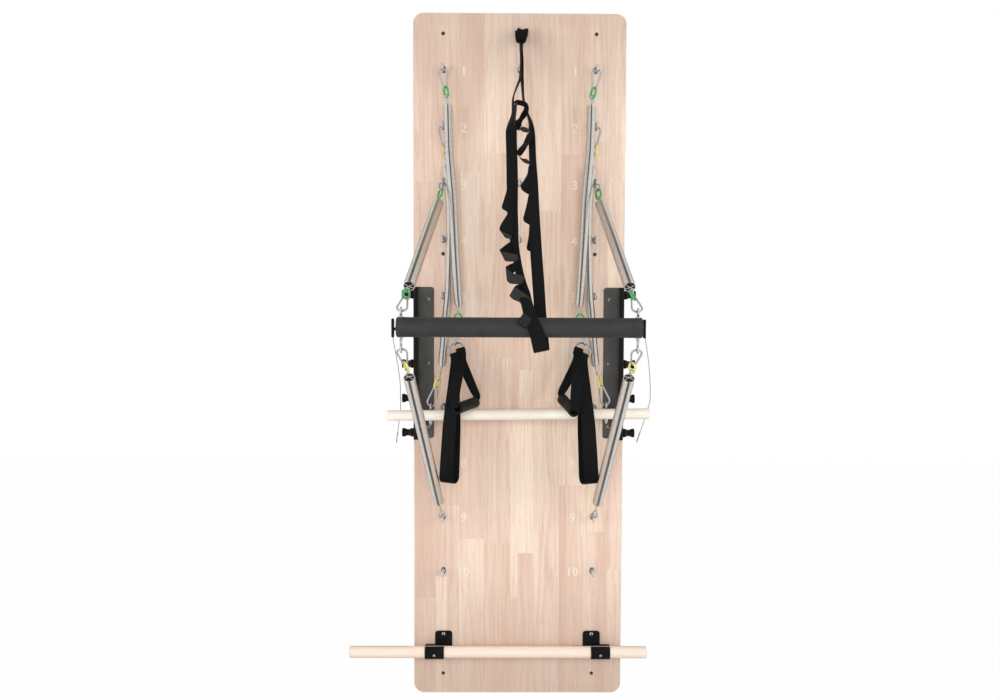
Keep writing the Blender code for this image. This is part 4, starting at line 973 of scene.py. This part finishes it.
def springs():
    for side, s in SIDES.items():
        eye = Vector((s * COLUMN_X, EYE_Y, row_z(1)))
        route = sided(HANDLE_ROUTE, s)
        snap_hook(f"snap_handle_top_{side}", inside_ring(eye, EYE_R, route[0] - eye), route[0], X, GREEN,
                  f"handle_spring_{side}", f"hook_handle_top_{side}")
        thin_spring(f"coil_handle_{side}", route,
                    f"spring_handle_{side}")
        start = ring_point(s, 0, RING_RISE + RING_R) - ring_up(s) * (2 * WIRE_R + 0.0006)
        snap_hook(f"snap_handle_low_{side}", start, route[-1], Y, GREEN, f"handle_clip_{side}",
                  f"hook_handle_low_{side}", link_length=0.037, link_turn=0)

        eye = Vector((s * COLUMN_X, EYE_Y, row_z(2)))
        route = sided(ROLLDOWN_ROUTE, s)
        snap_hook(f"snap_rolldown_top_{side}", inside_ring(eye, EYE_R, route[0] - eye), route[0], X, YELLOW,
                  "root", f"hook_rolldown_top_{side}")
        thin_spring(f"coil_rolldown_{side}", route, f"spring_rolldown_{side}")
        start = inside_ring(roll_point(s * SCREW_EYE_X, SCREW_EYE_RISE), SCREW_EYE_R, Z)
        snap_hook(f"snap_rolldown_low_{side}", start, route[-1], X, YELLOW, "rolldown",
                  f"hook_rolldown_low_{side}")

        eye = Vector((s * COLUMN_X, EYE_Y, row_z(3)))
        ring = Vector((s * BAR_EYE_X, BAR_Y, BAR_Z + BAR_EYE_RISE))
        way = (ring - eye).normalized()
        top = eye + way * 0.072 - Z * 0.02
        bottom = ring - way * 0.101
        way = (top - eye).normalized()
        turned = (way.cross(X).normalized() * 0.72 + X * 0.7).normalized()
        link = Shape()
        link.tube(pear(eye + way * (EYE_R - 2 * WIRE_R - 0.0006), way, X, 0.03, 0.0085, 0.006, 18, 10),
                  0.0022, 10, True)
        link_start = eye + way * 0.0285
        link.tube(pear(link_start, way, turned, 0.036, 0.0085, 0.0085, 16, 16), 0.003, 12, True, 1)
        link_end = link_start + way * 0.036
        link.tube(circle(link_end - way * 0.004, 0.0042, way, way.cross(X).normalized(), 16), 0.0016, 8, True)
        run = (top - link_end).length
        link.lathe(link_end, way, [(-0.001, 0.0019), (run * 0.4, 0.0019), (run * 0.42, 0.0036),
                                   (run * 0.7, 0.0036), (run * 0.74, 0.0019), (run + 0.001, 0.0019)], 16)
        put(make(f"top_link_{side}", link, [STEEL, GREEN]), "root", "steel")
        thick_spring(f"coil_upper_{side}", top, bottom, f"spring_upper_{side}", True)
        way = (ring - bottom).normalized()
        snap_hook(f"snap_upper_{side}", inside_ring(ring, BAR_EYE_R, -way), bottom, X, GREEN, "push_bar",
                  f"hook_upper_{side}")

        eye = Vector((s * COLUMN_X, EYE_Y, row_z(9)))
        ring = Vector((s * BAR_EYE_X, BAR_Y, BAR_Z - BAR_EYE_RISE))
        way = (ring - eye).normalized()
        top = ring - way * 0.12
        hook = Shape()
        coil_end = eye + way * 0.079
        hook_start = eye + way * (EYE_R - 2 * WIRE_R - 0.0006)
        hook.tube(pear(hook_start, way, X, 0.034, 0.0095, 0.0045, 20, 10), 0.0021, 10, True)
        hook.lathe(hook_start + way * 0.032, way, [(0, 0.0018), (0.003, 0.0032), (0.007, 0.0032),
                                                   (0.009, 0.0016),
                                                   ((coil_end - hook_start).length - 0.032, 0.0016)], 14)
        put(make(f"end_hook_{side}", hook, STEEL), "root", "spring_wire")
        thick_spring(f"coil_lower_{side}", coil_end, top, f"spring_lower_{side}", False)
        low_ring = ring - Z * LOWER_EYE_DROP
        start = inside_ring(low_ring, BAR_EYE_R, top - low_ring)
        snap_hook(f"snap_lower_{side}", start, top, X, YELLOW, "push_bar", f"hook_lower_{side}")


# Handles

def d_rings():
    foot = math.radians(-15)
    for side, s in SIDES.items():
        points = [ring_point(s, RING_R * math.cos(a), RING_RISE + RING_R * math.sin(a))
                  for a in (foot + (math.pi - 2 * foot) * i / 40 for i in range(41))]
        shape = Shape().tube(points, WIRE_R, 14, True)
        seam = ring_point(s, 0.01, RING_RISE + RING_R * math.sin(foot))
        shape.lathe(seam, ring_out(s), [(0, 0.0024), (0.0008, 0.0027), (0.0016, 0.0024)], 14)
        put(make(f"ring_{side}", shape, STEEL), f"handle_{side}", "steel", f"d_ring_{side}")


def spaced(rows, spacing, closed=False):
    """A ribbon's stations on a smooth curve through rows of point, direction and width."""
    return [(Vector(r[:3]), Vector(r[3:6]).normalized(), float(r[6]))
            for r in smooth_path(rows, spacing, closed)]


def closed_stations(stations, spacing):
    """Closely spaced stations on a smooth closed curve through a band's own stations."""
    rows = [(*point, *Vector(wide).normalized(), width) for point, wide, width in stations]
    return spaced(rows, spacing, True)


def subdivided(points, longest):
    found = []
    for a, b in zip(points, points[1:] + points[:1]):
        steps = max(1, math.ceil((b - a).length / longest))
        found += [a.lerp(b, i / steps) for i in range(steps)]
    return found


def straps():
    bar_up = RING_RISE + RING_R * math.sin(math.radians(-15))
    for side, s in SIDES.items():
        wrap = WIRE_R + 0.0006 + STRAP_T / 2
        shift = (0.021 - 0.0014) / 2
        top = ring_point(s, shift, bar_up) + ring_up(s) * wrap
        length = (LOOP_BOTTOM[s] - top).length
        drift = LOOP_BOTTOM[s] - (top - ring_up(s) * length)
        wide = LOOP_BACK[s].cross(Z) * s
        stations = []
        for flat in subdivided(pear(Vector(), X, Y, length, wrap, 0.017, 14, 16), 0.02):
            down = min(1, max(0, (flat.x - 0.012) / 0.2))
            down = down * down * (3 - 2 * down) * 0.35 + down * 0.65
            sway = max(0, (flat.x - 0.012) / (length - 0.012))
            point = top - ring_up(s) * flat.x + drift * sway + Y.lerp(LOOP_BACK[s], down) * flat.y
            stations.append((point, ring_out(s).lerp(wide, down), 0.021 + 0.023 * down))
        shape = Shape().ribbon(stations, STRAP_T)

        hand_bar = ring_point(s, -shift, bar_up)
        near, far = GRIP_NEAR[s], GRIP_FAR[s]
        axis = (far - near).normalized()
        out, flat = ring_out(s), axis.cross(Z).normalized()
        flat = flat if flat.dot(out) > 0 else -flat
        seat = math.sqrt((GRIP_BORE_R * math.cos(math.pi / 12) - 0.0003) ** 2 - 0.007 ** 2) - STRAP_T / 2
        up = axis.cross(flat)
        inside = (up if up.z > 0 else -up) * (seat - 0.0006)
        fold_top = hand_bar + ring_up(s) * 0.006
        hand = [(fold_top + (Y * math.sin(a) + ring_up(s) * math.cos(a)) * (wrap + 0.0028) - out * 0.0015,
                 out, 0.026)
                for a in (math.radians(d) for d in range(-90, 91, 30))]
        hand.append((hand_bar + Y * (wrap + 0.003) - out * 0.0015, out, 0.026))
        hand += [
            (hand_bar + Vector((0, wrap + 0.003, -0.02)), out, 0.027),
            (far.lerp(hand_bar, 0.33) + axis * 0.01, out.lerp(flat, 0.6), 0.025),
            (far + axis * 0.012 + Z * 0.016, flat, 0.021),
            (far + axis * 0.005 + inside, flat, 0.014), (far - axis * 0.02 + inside, flat, 0.014),
            (near + axis * 0.02 + inside, flat, 0.014), (near - axis * 0.005 + inside, flat, 0.014),
            (near - axis * 0.014 + Z * 0.016, flat, 0.024),
            (near - axis * 0.014 + Z * 0.045, flat.lerp(out, 0.5), 0.03),
            (hand_bar + Vector((0, -wrap - 0.007, -0.02)), out, 0.03),
        ]
        shape.ribbon(closed_stations(hand, 0.005), STRAP_T)
        for base, width in ((ring_point(s, shift, bar_up), 0.019), (hand_bar, 0.018)):
            low = base - ring_up(s) * 0.014
            for i in range(4):
                for j in range(7):
                    spot = low - ring_up(s) * (0.0045 * i) + out * (width * (j / 6 - 0.5))
                    spot -= Y * (wrap + 0.0019 + 0.0006 * i)
                    shape.tube([spot - out * 0.0009, spot - Y * 0.0003, spot + out * 0.0009], 0.00035, 4,
                               slot=1)
        put(make(f"double_strap_{side}", shape, [WEBBING, THREAD], 50), f"handle_{side}", "webbing",
            f"strap_{side}")

        start = (near + far) / 2 - axis * 0.0575
        r, b, n = GRIP_R, GRIP_BORE_R, 0.115
        profile = [(0.001, b), (0, b + 0.0012), (0, r - 0.0028), (0.0008, r - 0.0009), (0.0028, r)]
        profile += [(0.0028 + (n - 0.0056) * i / 14,
                     r - 0.0003 * math.sin(math.pi * i / 14)) for i in range(1, 14)]
        profile += [(n - 0.0028, r), (n - 0.0008, r - 0.0009), (n, r - 0.0028), (n, b + 0.0012),
                    (n - 0.001, b)]
        tube = Shape().lathe(start, axis, profile, 40, loop=True, jitter=0.00008, seed=7)
        handle = make(f"hand_grip_{side}", tube, GRIP_FOAM, 60)
        put(handle, f"handle_{side}", "foam", f"grip_{side}")


# Stretch strap

LOOP_FACES_PX = (
    ((508.0, 184.0, 513.0, 184.0, -0.342), (506.4, 191.3, 513.0, 192.0, -0.352),
     (504.1, 199.0, 513.0, 201.0, -0.368), (501.9, 206.5, 512.0, 210.0, -0.383),
     (502.3, 208.7, 509.5, 213.0, -0.38)),
    ((509.0, 211.0, 513.0, 211.0, -0.384), (506.2, 216.0, 513.0, 218.0, -0.396),
     (501.8, 223.0, 513.0, 226.0, -0.408), (499.5, 228.3, 513.0, 234.0, -0.418),
     (500.3, 230.8, 511.0, 240.0, -0.416)),
    ((512.5, 240.5, 514.0, 254.0, -0.43), (506.0, 244.6, 508.5, 255.0, -0.44),
     (499.6, 249.9, 504.8, 260.6, -0.45)),
    ((519.0, 261.0, 520.0, 266.0, -0.462), (513.3, 262.9, 514.5, 272.0, -0.472),
     (507.5, 265.6, 509.5, 277.0, -0.48), (505.7, 267.2, 507.0, 280.6, -0.484)),
    ((523.5, 283.2, 521.5, 290.0, -0.496), (517.0, 285.2, 514.5, 292.0, -0.504),
     (514.7, 286.8, 509.7, 295.6, -0.51)),
    ((528.6, 166.0, 532.0, 166.0, -0.308), (527.6, 173.0, 532.0, 175.0, -0.316),
     (525.4, 178.0, 532.0, 181.0, -0.326), (521.8, 183.8, 532.0, 188.0, -0.336),
     (520.9, 187.6, 531.0, 192.5, -0.338), (522.6, 190.6, 529.0, 194.6, -0.334)),
    ((528.4, 195.4, 532.0, 196.0, -0.36), (526.8, 204.0, 532.0, 206.0, -0.37),
     (524.2, 214.4, 532.0, 217.0, -0.386), (523.2, 219.0, 531.0, 223.5, -0.39),
     (524.2, 221.4, 529.0, 224.4, -0.386)),
    ((529.4, 225.4, 533.0, 226.0, -0.404), (528.6, 236.0, 533.0, 238.0, -0.416),
     (526.8, 246.8, 533.0, 249.0, -0.43), (527.2, 250.0, 531.4, 251.8, -0.428)),
)
LOOP_BACKS_PX = (
    ((519.6, 128.2, 519.8, 128.9, -0.25), (522.5, 128.2, 522.5, 131.5, -0.252),
     (526.0, 128.4, 526.0, 132.5, -0.254), (530.2, 129.8, 530.2, 132.2, -0.254)),
    ((520.8, 158.6, 521.0, 159.6, -0.284), (524.0, 160.0, 524.0, 162.6, -0.286),
     (527.0, 160.8, 527.0, 163.8, -0.288), (530.2, 162.2, 530.2, 164.2, -0.288)),
    ((500.3, 230.8, 505.0, 237.6, -0.419), (506.0, 233.0, 508.0, 238.5, -0.422),
     (511.5, 236.0, 512.0, 239.0, -0.424)),
    ((499.7, 250.3, 505.0, 260.8, -0.452), (503.5, 252.0, 509.0, 261.6, -0.456),
     (510.0, 253.0, 514.5, 261.4, -0.458), (517.0, 254.5, 519.0, 261.0, -0.456)),
    ((505.8, 267.6, 507.2, 281.0, -0.486), (511.5, 272.6, 510.6, 283.6, -0.49),
     (517.0, 274.4, 517.0, 284.0, -0.492), (524.0, 276.5, 525.0, 284.0, -0.492)),
    ((514.8, 286.6, 509.5, 296.0, -0.512), (518.5, 289.5, 513.5, 299.6, -0.516),
     (522.5, 292.0, 519.0, 302.0, -0.52), (527.5, 296.0, 524.5, 307.0, -0.526),
     (530.0, 300.0, 527.0, 311.0, -0.534)),
)
CROSSING = (0.75, -0.5, 0.42)
FOLDS_PX = (
    ((514.6, 103.4, -0.205, (0.1, -1, 0.2), 0.024), (517, 102.6, -0.206, (0, -0.9, 0.4), 0.022),
     (521, 103, -0.21, (0, -0.85, 0.5), 0.02), (525.4, 105, -0.214, (0.5, -0.8, 0.3), 0.018),
     (526.2, 110, -0.216, (0.9, -0.3, 0.2), 0.015), (522.6, 117, -0.216, CROSSING, 0.024),
     (518.5, 122.5, -0.216, CROSSING, 0.028), (515.4, 129, -0.214, CROSSING, 0.024)),
)
FOLD_BACK_PX = (
    (516, 103, -0.218, (0.22, -1, 0), 0.028), (514.6, 116, -0.226, (0.25, -1, 0), 0.028),
    (512.8, 130, -0.232, (0.2, -1, 0), 0.026),
)
LOWER_FOLDS_PX = (
    ((519.5, 128.2, -0.24, (0, -0.95, -0.3), 0.018), (524, 128.0, -0.244, (0, -0.9, -0.4), 0.018),
     (529.8, 129.4, -0.246, (0, -1, 0), 0.016)),
    ((530.5, 133, -0.25, (0.6, -0.7, 0.3), 0.028), (528, 141, -0.256, CROSSING, 0.031),
     (523.2, 147.5, -0.262, CROSSING, 0.032), (518.2, 155, -0.264, CROSSING, 0.027)),
    ((518, 154.5, -0.266, (0.2, -0.9, -0.3), 0.018), (521.5, 158.5, -0.272, (0.2, -0.9, -0.4), 0.018),
     (526, 160.4, -0.276, (0, -0.9, -0.45), 0.018), (530, 162, -0.278, (0, -1, 0), 0.016)),
)
TAB_TOP_PX = (528.6, 315.0)
TAB_LOW_PX = (521.6, 326.0)
TAB_TOP_Y = -0.5805
TAB_LOW_Y = -0.584


def stretch_strap():
    """Two strands from the top centre hook to the bar, with sewn loops that hang out in folds."""
    w, t = 0.029, 0.0018
    edge, turned, tilted = Vector((0.16, -1, 0)), (X - Y).normalized(), Vector((1, 0, 0.2))
    neck = Vector((0.27, -1, 0))
    strands = [
        ((0.001, -0.06, 0.92), Y, 0.012), ((0.0006, -0.069, 0.9), edge, 0.016),
        ((0.0016, -0.0977, 0.8706), edge, 0.022), ((0.0024, -0.1205, 0.8325), edge, 0.024),
        ((0.001, -0.1468, 0.7888), Vector((0.27, -1, 0)), 0.024),
        ((-0.004, -0.1597, 0.7672), Vector((0.3, -1, 0)), 0.025), ((-0.0183, -0.187, 0.7214), edge, 0.025),
        ((-0.0182, -0.2122, 0.6795), Vector((0.34, -1, 0)), 0.026),
        ((-0.0222, -0.2335, 0.6441), turned, 0.031), ((-0.0228, -0.2545, 0.6092), X, w),
        ((-0.0211, -0.287, 0.5549), X, w), ((-0.0194, -0.3354, 0.4743), X, w),
        ((-0.0182, -0.3838, 0.3937), X, 0.027), ((-0.0128, -0.4275, 0.3208), turned, 0.026),
        ((-0.0029, -0.467, 0.255), turned, 0.024), ((0.01, -0.5034, 0.2009), turned, 0.027),
        ((0.017, -0.54, 0.1695), X, 0.028), ((0.028, -0.578, 0.13), tilted, 0.031),
        ((0.04, -0.578, 0.1), tilted, 0.034), ((0.0505, -0.566, 0.06), tilted, 0.036),
        ((0.0535, -0.55, 0.0545), tilted, 0.036), ((0.054, -0.534, 0.061), tilted, 0.036),
        ((0.0525, -0.523, 0.1), X, 0.032), ((0.051, -0.523, 0.13), X, w), ((0.046, -0.494, 0.2132), X, w),
        ((0.0396, -0.4274, 0.321), X, w), ((0.0364, -0.3612, 0.4313), X, 0.025),
        ((0.0339, -0.3037, 0.5272), turned, 0.024), ((0.0317, -0.2543, 0.6095), turned, 0.022),
        ((0.0282, -0.2333, 0.6444), Vector((0.4, -1, 0)), 0.024), ((0.0212, -0.2174, 0.6709), edge, 0.024),
        ((0.0106, -0.1923, 0.7126), edge, 0.024), ((0.0066, -0.1597, 0.7672), neck, 0.024),
        ((0.0058, -0.1467, 0.7888), neck, 0.024), ((0.0056, -0.1205, 0.8325), neck, 0.024),
        ((0.005, -0.0977, 0.8706), edge, 0.022), ((0.006, -0.069, 0.9), edge, 0.016),
        ((0.005, -0.06, 0.92), Y, 0.012),
    ]
    shape = Shape().ribbon(closed_stations(strands, 0.005), t)
    head = [((0.003, -0.064, 0.8995), X, 0.013), ((0.003, -0.076, 0.903), X, 0.024),
            ((0.004, -0.08, 0.9095), tilted, 0.031), ((0.005, -0.079, 0.92), tilted, 0.034),
            ((0.006, -0.071, 0.931), tilted, 0.035), ((0.004, -0.06, 0.935), tilted, 0.034),
            ((0.002, -0.048, 0.933), X, 0.032), ((0.003, -0.043, 0.922), X, 0.032),
            ((0.003, -0.043, 0.908), X, 0.028), ((0.003, -0.05, 0.901), X, 0.016)]
    shape.ribbon(closed_stations(head, 0.004), 0.0026)
    shape.ribbon(closed_stations([((p[0] - 0.003, p[1] - 0.004, p[2] + 0.002), Vector((1, 0, -0.35)),
                                   width * 0.62)
                                  for p, _, width in head[1:5]] + [((0.0, -0.074, 0.915), X, 0.018)], 0.004),
                 0.0022)

    def band(stations, slot=0):
        rows = [(*seen(px, py, y), *Vector(wide).normalized(), width) for px, py, y, wide, width in stations]
        shape.ribbon(spaced(rows, 0.003), t, closed=False, slot=slot)

    def edged(stations, slot):
        """A band between pairs of edge places of the photograph, each pair at a depth."""
        rows = []
        for outer_x, outer_y, inner_x, inner_y, y in stations:
            first, last = seen(outer_x, outer_y, y), seen(inner_x, inner_y, y)
            rows.append((*((first + last) / 2), *(last - first).normalized(), (last - first).length))
        shape.ribbon(spaced(rows, 0.003), t, closed=False, slot=slot, slanted=True)

    for stations in LOOP_FACES_PX:
        edged(stations, 0)
    for stations in LOOP_BACKS_PX:
        edged(stations, 1)

    for stations in FOLDS_PX:
        band(stations)
    band(FOLD_BACK_PX, 1)
    for stations in LOWER_FOLDS_PX:
        band(stations)

    tab_top, tab_low = seen(*TAB_TOP_PX, TAB_TOP_Y), seen(*TAB_LOW_PX, TAB_LOW_Y)
    down = (tab_low - tab_top).normalized()
    side_way = down.cross(Y).normalized()
    shape.ribbon([(tab_top.lerp(tab_low, i / 5), side_way, 0.026) for i in range(6)], 0.0024, closed=False)
    for i in range(5):
        row = tab_top.lerp(tab_low, 0.16 + 0.17 * i) - Y * 0.0017
        for j in range(8):
            spot = row + side_way * (0.02 * (j / 7 - 0.5))
            shape.tube([spot - side_way * 0.001, spot - Y * 0.0004, spot + side_way * 0.001], 0.0004, 4,
                       slot=2)
    strap = make("looped_strap", shape, [ELASTIC, ELASTIC_PALE, THREAD], 50)
    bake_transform(strap)
    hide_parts("stretch_strap")


# Wooden bars

def dowel_profile(length, radius):
    end = [(0, radius - 0.0035), (0.0006, radius - 0.0015), (0.002, radius - 0.0004), (0.004, radius)]
    middle = [(length / 3, radius), (length * 2 / 3, radius)]
    return end + middle + [(length - d, r) for d, r in reversed(end)]


def bars():
    half = ROLL_LENGTH / 2
    start, end = roll_point(-half, 0), roll_point(half, 0)
    shape = Shape().lathe(start, (end - start).normalized(), dowel_profile(ROLL_LENGTH, ROLL_R), 40)
    for s in SIDES.values():
        centre = roll_point(s * SCREW_EYE_X, SCREW_EYE_RISE)
        shape.tube(circle(centre, SCREW_EYE_R, Y, Z, 26), 0.0024, 10, True, 1)
        top = roll_point(s * SCREW_EYE_X, ROLL_R)
        shape.lathe(top - Z * 0.0006, Z, [(0, 0.007), (0.0012, 0.007), (0.0018, 0.0062), (0.002, 0.003)], 24,
                    slot=1)
        shape.lathe(top, Z, [(0.001, 0.0029), (0.0035, 0.0034)], 14, slot=1)
        low = roll_point(s * SCREW_EYE_X, -ROLL_R)
        shape.lathe(low + Z * 0.0006, -Z, [(0, 0.0066), (0.0014, 0.0068), (0.0018, 0.006), (0.0019, 0.003)],
                    24, slot=1)
        shape.lathe(low - Z * 0.0012, -Z, [(0, 0.0052), (0.004, 0.0056), (0.006, 0.0046), (0.0064, 0.003),
                                           (0.0112, 0.0029), (0.0118, 0.002)], 12, slot=1)
    put(make("pulldown_dowel", shape, [DOWEL, STEEL]), "rolldown", "dowel", "rolldown_bar")

    shape = Shape().lathe((FOOT_LEFT_X, FOOT_Y, FOOT_Z), X, dowel_profile(FOOT_LENGTH, FOOT_R), 40)
    put(make("foot_dowel", shape, FOOT_DOWEL), "foot_bar", "dowel", "foot_bar")
    for side, s in SIDES.items():
        shape = Shape()
        back = FRONT - GAP
        place = (s * FOOT_PLATE_X, back, FOOT_Z + FOOT_PLATE_RISE)
        shape.prism(rounded_rectangle(0.05, 0.079, 0.008, 8), place, (0, -0.004, 0))
        inner, x = FOOT_R + 0.0004, s * CLAMP_X
        ring = []
        for i in range(29):
            a = math.radians(200 + 320 * i / 28 - 180)
            ring.append((math.cos(a), math.sin(a)))
        outline = [(0, d * CLAMP_R, c * CLAMP_R) for c, d in ring]
        outline += [(0, d * inner, c * inner) for c, d in reversed(ring)]
        shape.prism(outline, (x - CLAMP_W / 2, FOOT_Y, FOOT_Z), (CLAMP_W, 0, 0))
        for sign in (1, -1):
            z0 = FOOT_Z + sign * 0.0145
            flange = [(a * CLAMP_W / 2, 0, b * 0.0022) for a, b in ((-1, -1), (1, -1), (1, 1), (-1, 1))]
            shape.prism(flange, (x, back, z0), (0, FOOT_Y - back + 0.008, 0))
        clamp = make(f"foot_clamp_{side}", shape, COAT, bevel=0.0005)
        put(clamp, "root", "powder_coat", f"foot_bracket_{side}")
        screws = Shape()
        screw_head(screws, (s * FOOT_PLATE_X, back - 0.004, FOOT_Z + 0.048), -Y, 0.0052, 0.003)
        down = Vector((0, -math.cos(SET_SCREW_ANGLE), -math.sin(SET_SCREW_ANGLE)))
        screw_head(screws, Vector((x, FOOT_Y, FOOT_Z)) + down * (CLAMP_R - 0.0004), down, 0.004, 0.0026)
        put(make(f"foot_screws_{side}", screws, [STEEL, DARK_STEEL_AND_SHADE]), "root", "steel")


# Stage

def stage():
    data = bpy.data.meshes.new("floor")
    z, r = -1.3, 6.0
    data.from_pydata([(-r, -r, z), (r, -r, z), (r, r, z), (-r, r, z)], [], [(0, 1, 2, 3)])
    floor = linked("floor", data)
    paint = Paint("floor", (0.8, 0.8, 0.8), 0.9)
    light = paint.add("ShaderNodeLightPath").outputs
    glow = paint.add("ShaderNodeEmission", {"Strength": 1.0}).outputs[0]
    share = paint.math("MULTIPLY", light["Is Camera Ray"], 0.985)
    mix = paint.add("ShaderNodeMixShader", {0: share, 1: paint.shader.outputs[0], 2: glow}).outputs[0]
    clear = paint.add("ShaderNodeBsdfTransparent").outputs[0]
    through = paint.add("ShaderNodeMixShader", {0: light["Is Glossy Ray"], 1: mix, 2: clear})
    surface = paint.tree.nodes["Material Output"].inputs["Surface"]
    paint.tree.links.new(through.outputs[0], surface)
    data.materials.append(paint.material)

    world = bpy.data.worlds.new("studio")
    bpy.context.scene.world = world
    world.use_nodes = True
    tree = world.node_tree
    tree.nodes.clear()
    light = add_node(tree, "ShaderNodeLightPath").outputs
    place = add_node(tree, "ShaderNodeTexCoord").outputs["Generated"]
    parts = add_node(tree, "ShaderNodeSeparateXYZ", {0: place}).outputs
    sideways = add_node(tree, "ShaderNodeMath", {0: parts[0]}, operation="ABSOLUTE").outputs[0]
    shades = []
    for value, a, b, c, d in ((sideways, 0.12, 0.44, 0.1, 1.15), (parts[1], 0.6, 0.95, 1.0, 0.25)):
        ends = {"Value": value, "From Min": a, "From Max": b, "To Min": c, "To Max": d}
        shades.append(add_node(tree, "ShaderNodeMapRange", ends, interpolation_type="SMOOTHSTEP").outputs[0])
    around = add_node(tree, "ShaderNodeMath", dict(enumerate(shades)), operation="MULTIPLY").outputs[0]
    seen_rays = {0: light["Is Camera Ray"], 1: light["Is Transmission Ray"]}
    white = add_node(tree, "ShaderNodeMath", seen_rays, operation="MAXIMUM").outputs[0]
    ambient = add_node(tree, "ShaderNodeMix", {0: light["Is Glossy Ray"], 2: 0.44, 3: around}).outputs[0]
    level = add_node(tree, "ShaderNodeMix", {0: white, 2: ambient, 3: 1.0}).outputs[0]
    background = add_node(tree, "ShaderNodeBackground", {"Color": (1, 1, 1, 1), "Strength": level})
    add_node(tree, "ShaderNodeOutputWorld", {0: background.outputs[0]})

    for name, place, power, size in (("key_left", (-2.6, -2.4, 0.6), 33, 1.6),
                                     ("key_right", (2.6, -2.4, 0.6), 33, 1.6),
                                    ("front", (0.0, -3.3, 0.3), 42, 1.8)):
        lamp = bpy.data.lights.new(name, "AREA")
        lamp.energy = power
        lamp.size = size
        obj = linked(name, lamp)
        obj.visible_glossy = False
        obj.location = place
        obj.rotation_euler = (Vector((0, -0.1, 0.1)) - Vector(place)).to_track_quat("-Z", "Y").to_euler()
    bpy.context.scene.view_settings.view_transform = "Standard"


add_camera()
for side in SIDES:
    lanyard(side)
back_board()
row_numbers()
eyebolts()
brackets()
push_bar()
springs()
d_rings()
straps()
stretch_strap()
bars()
stage()
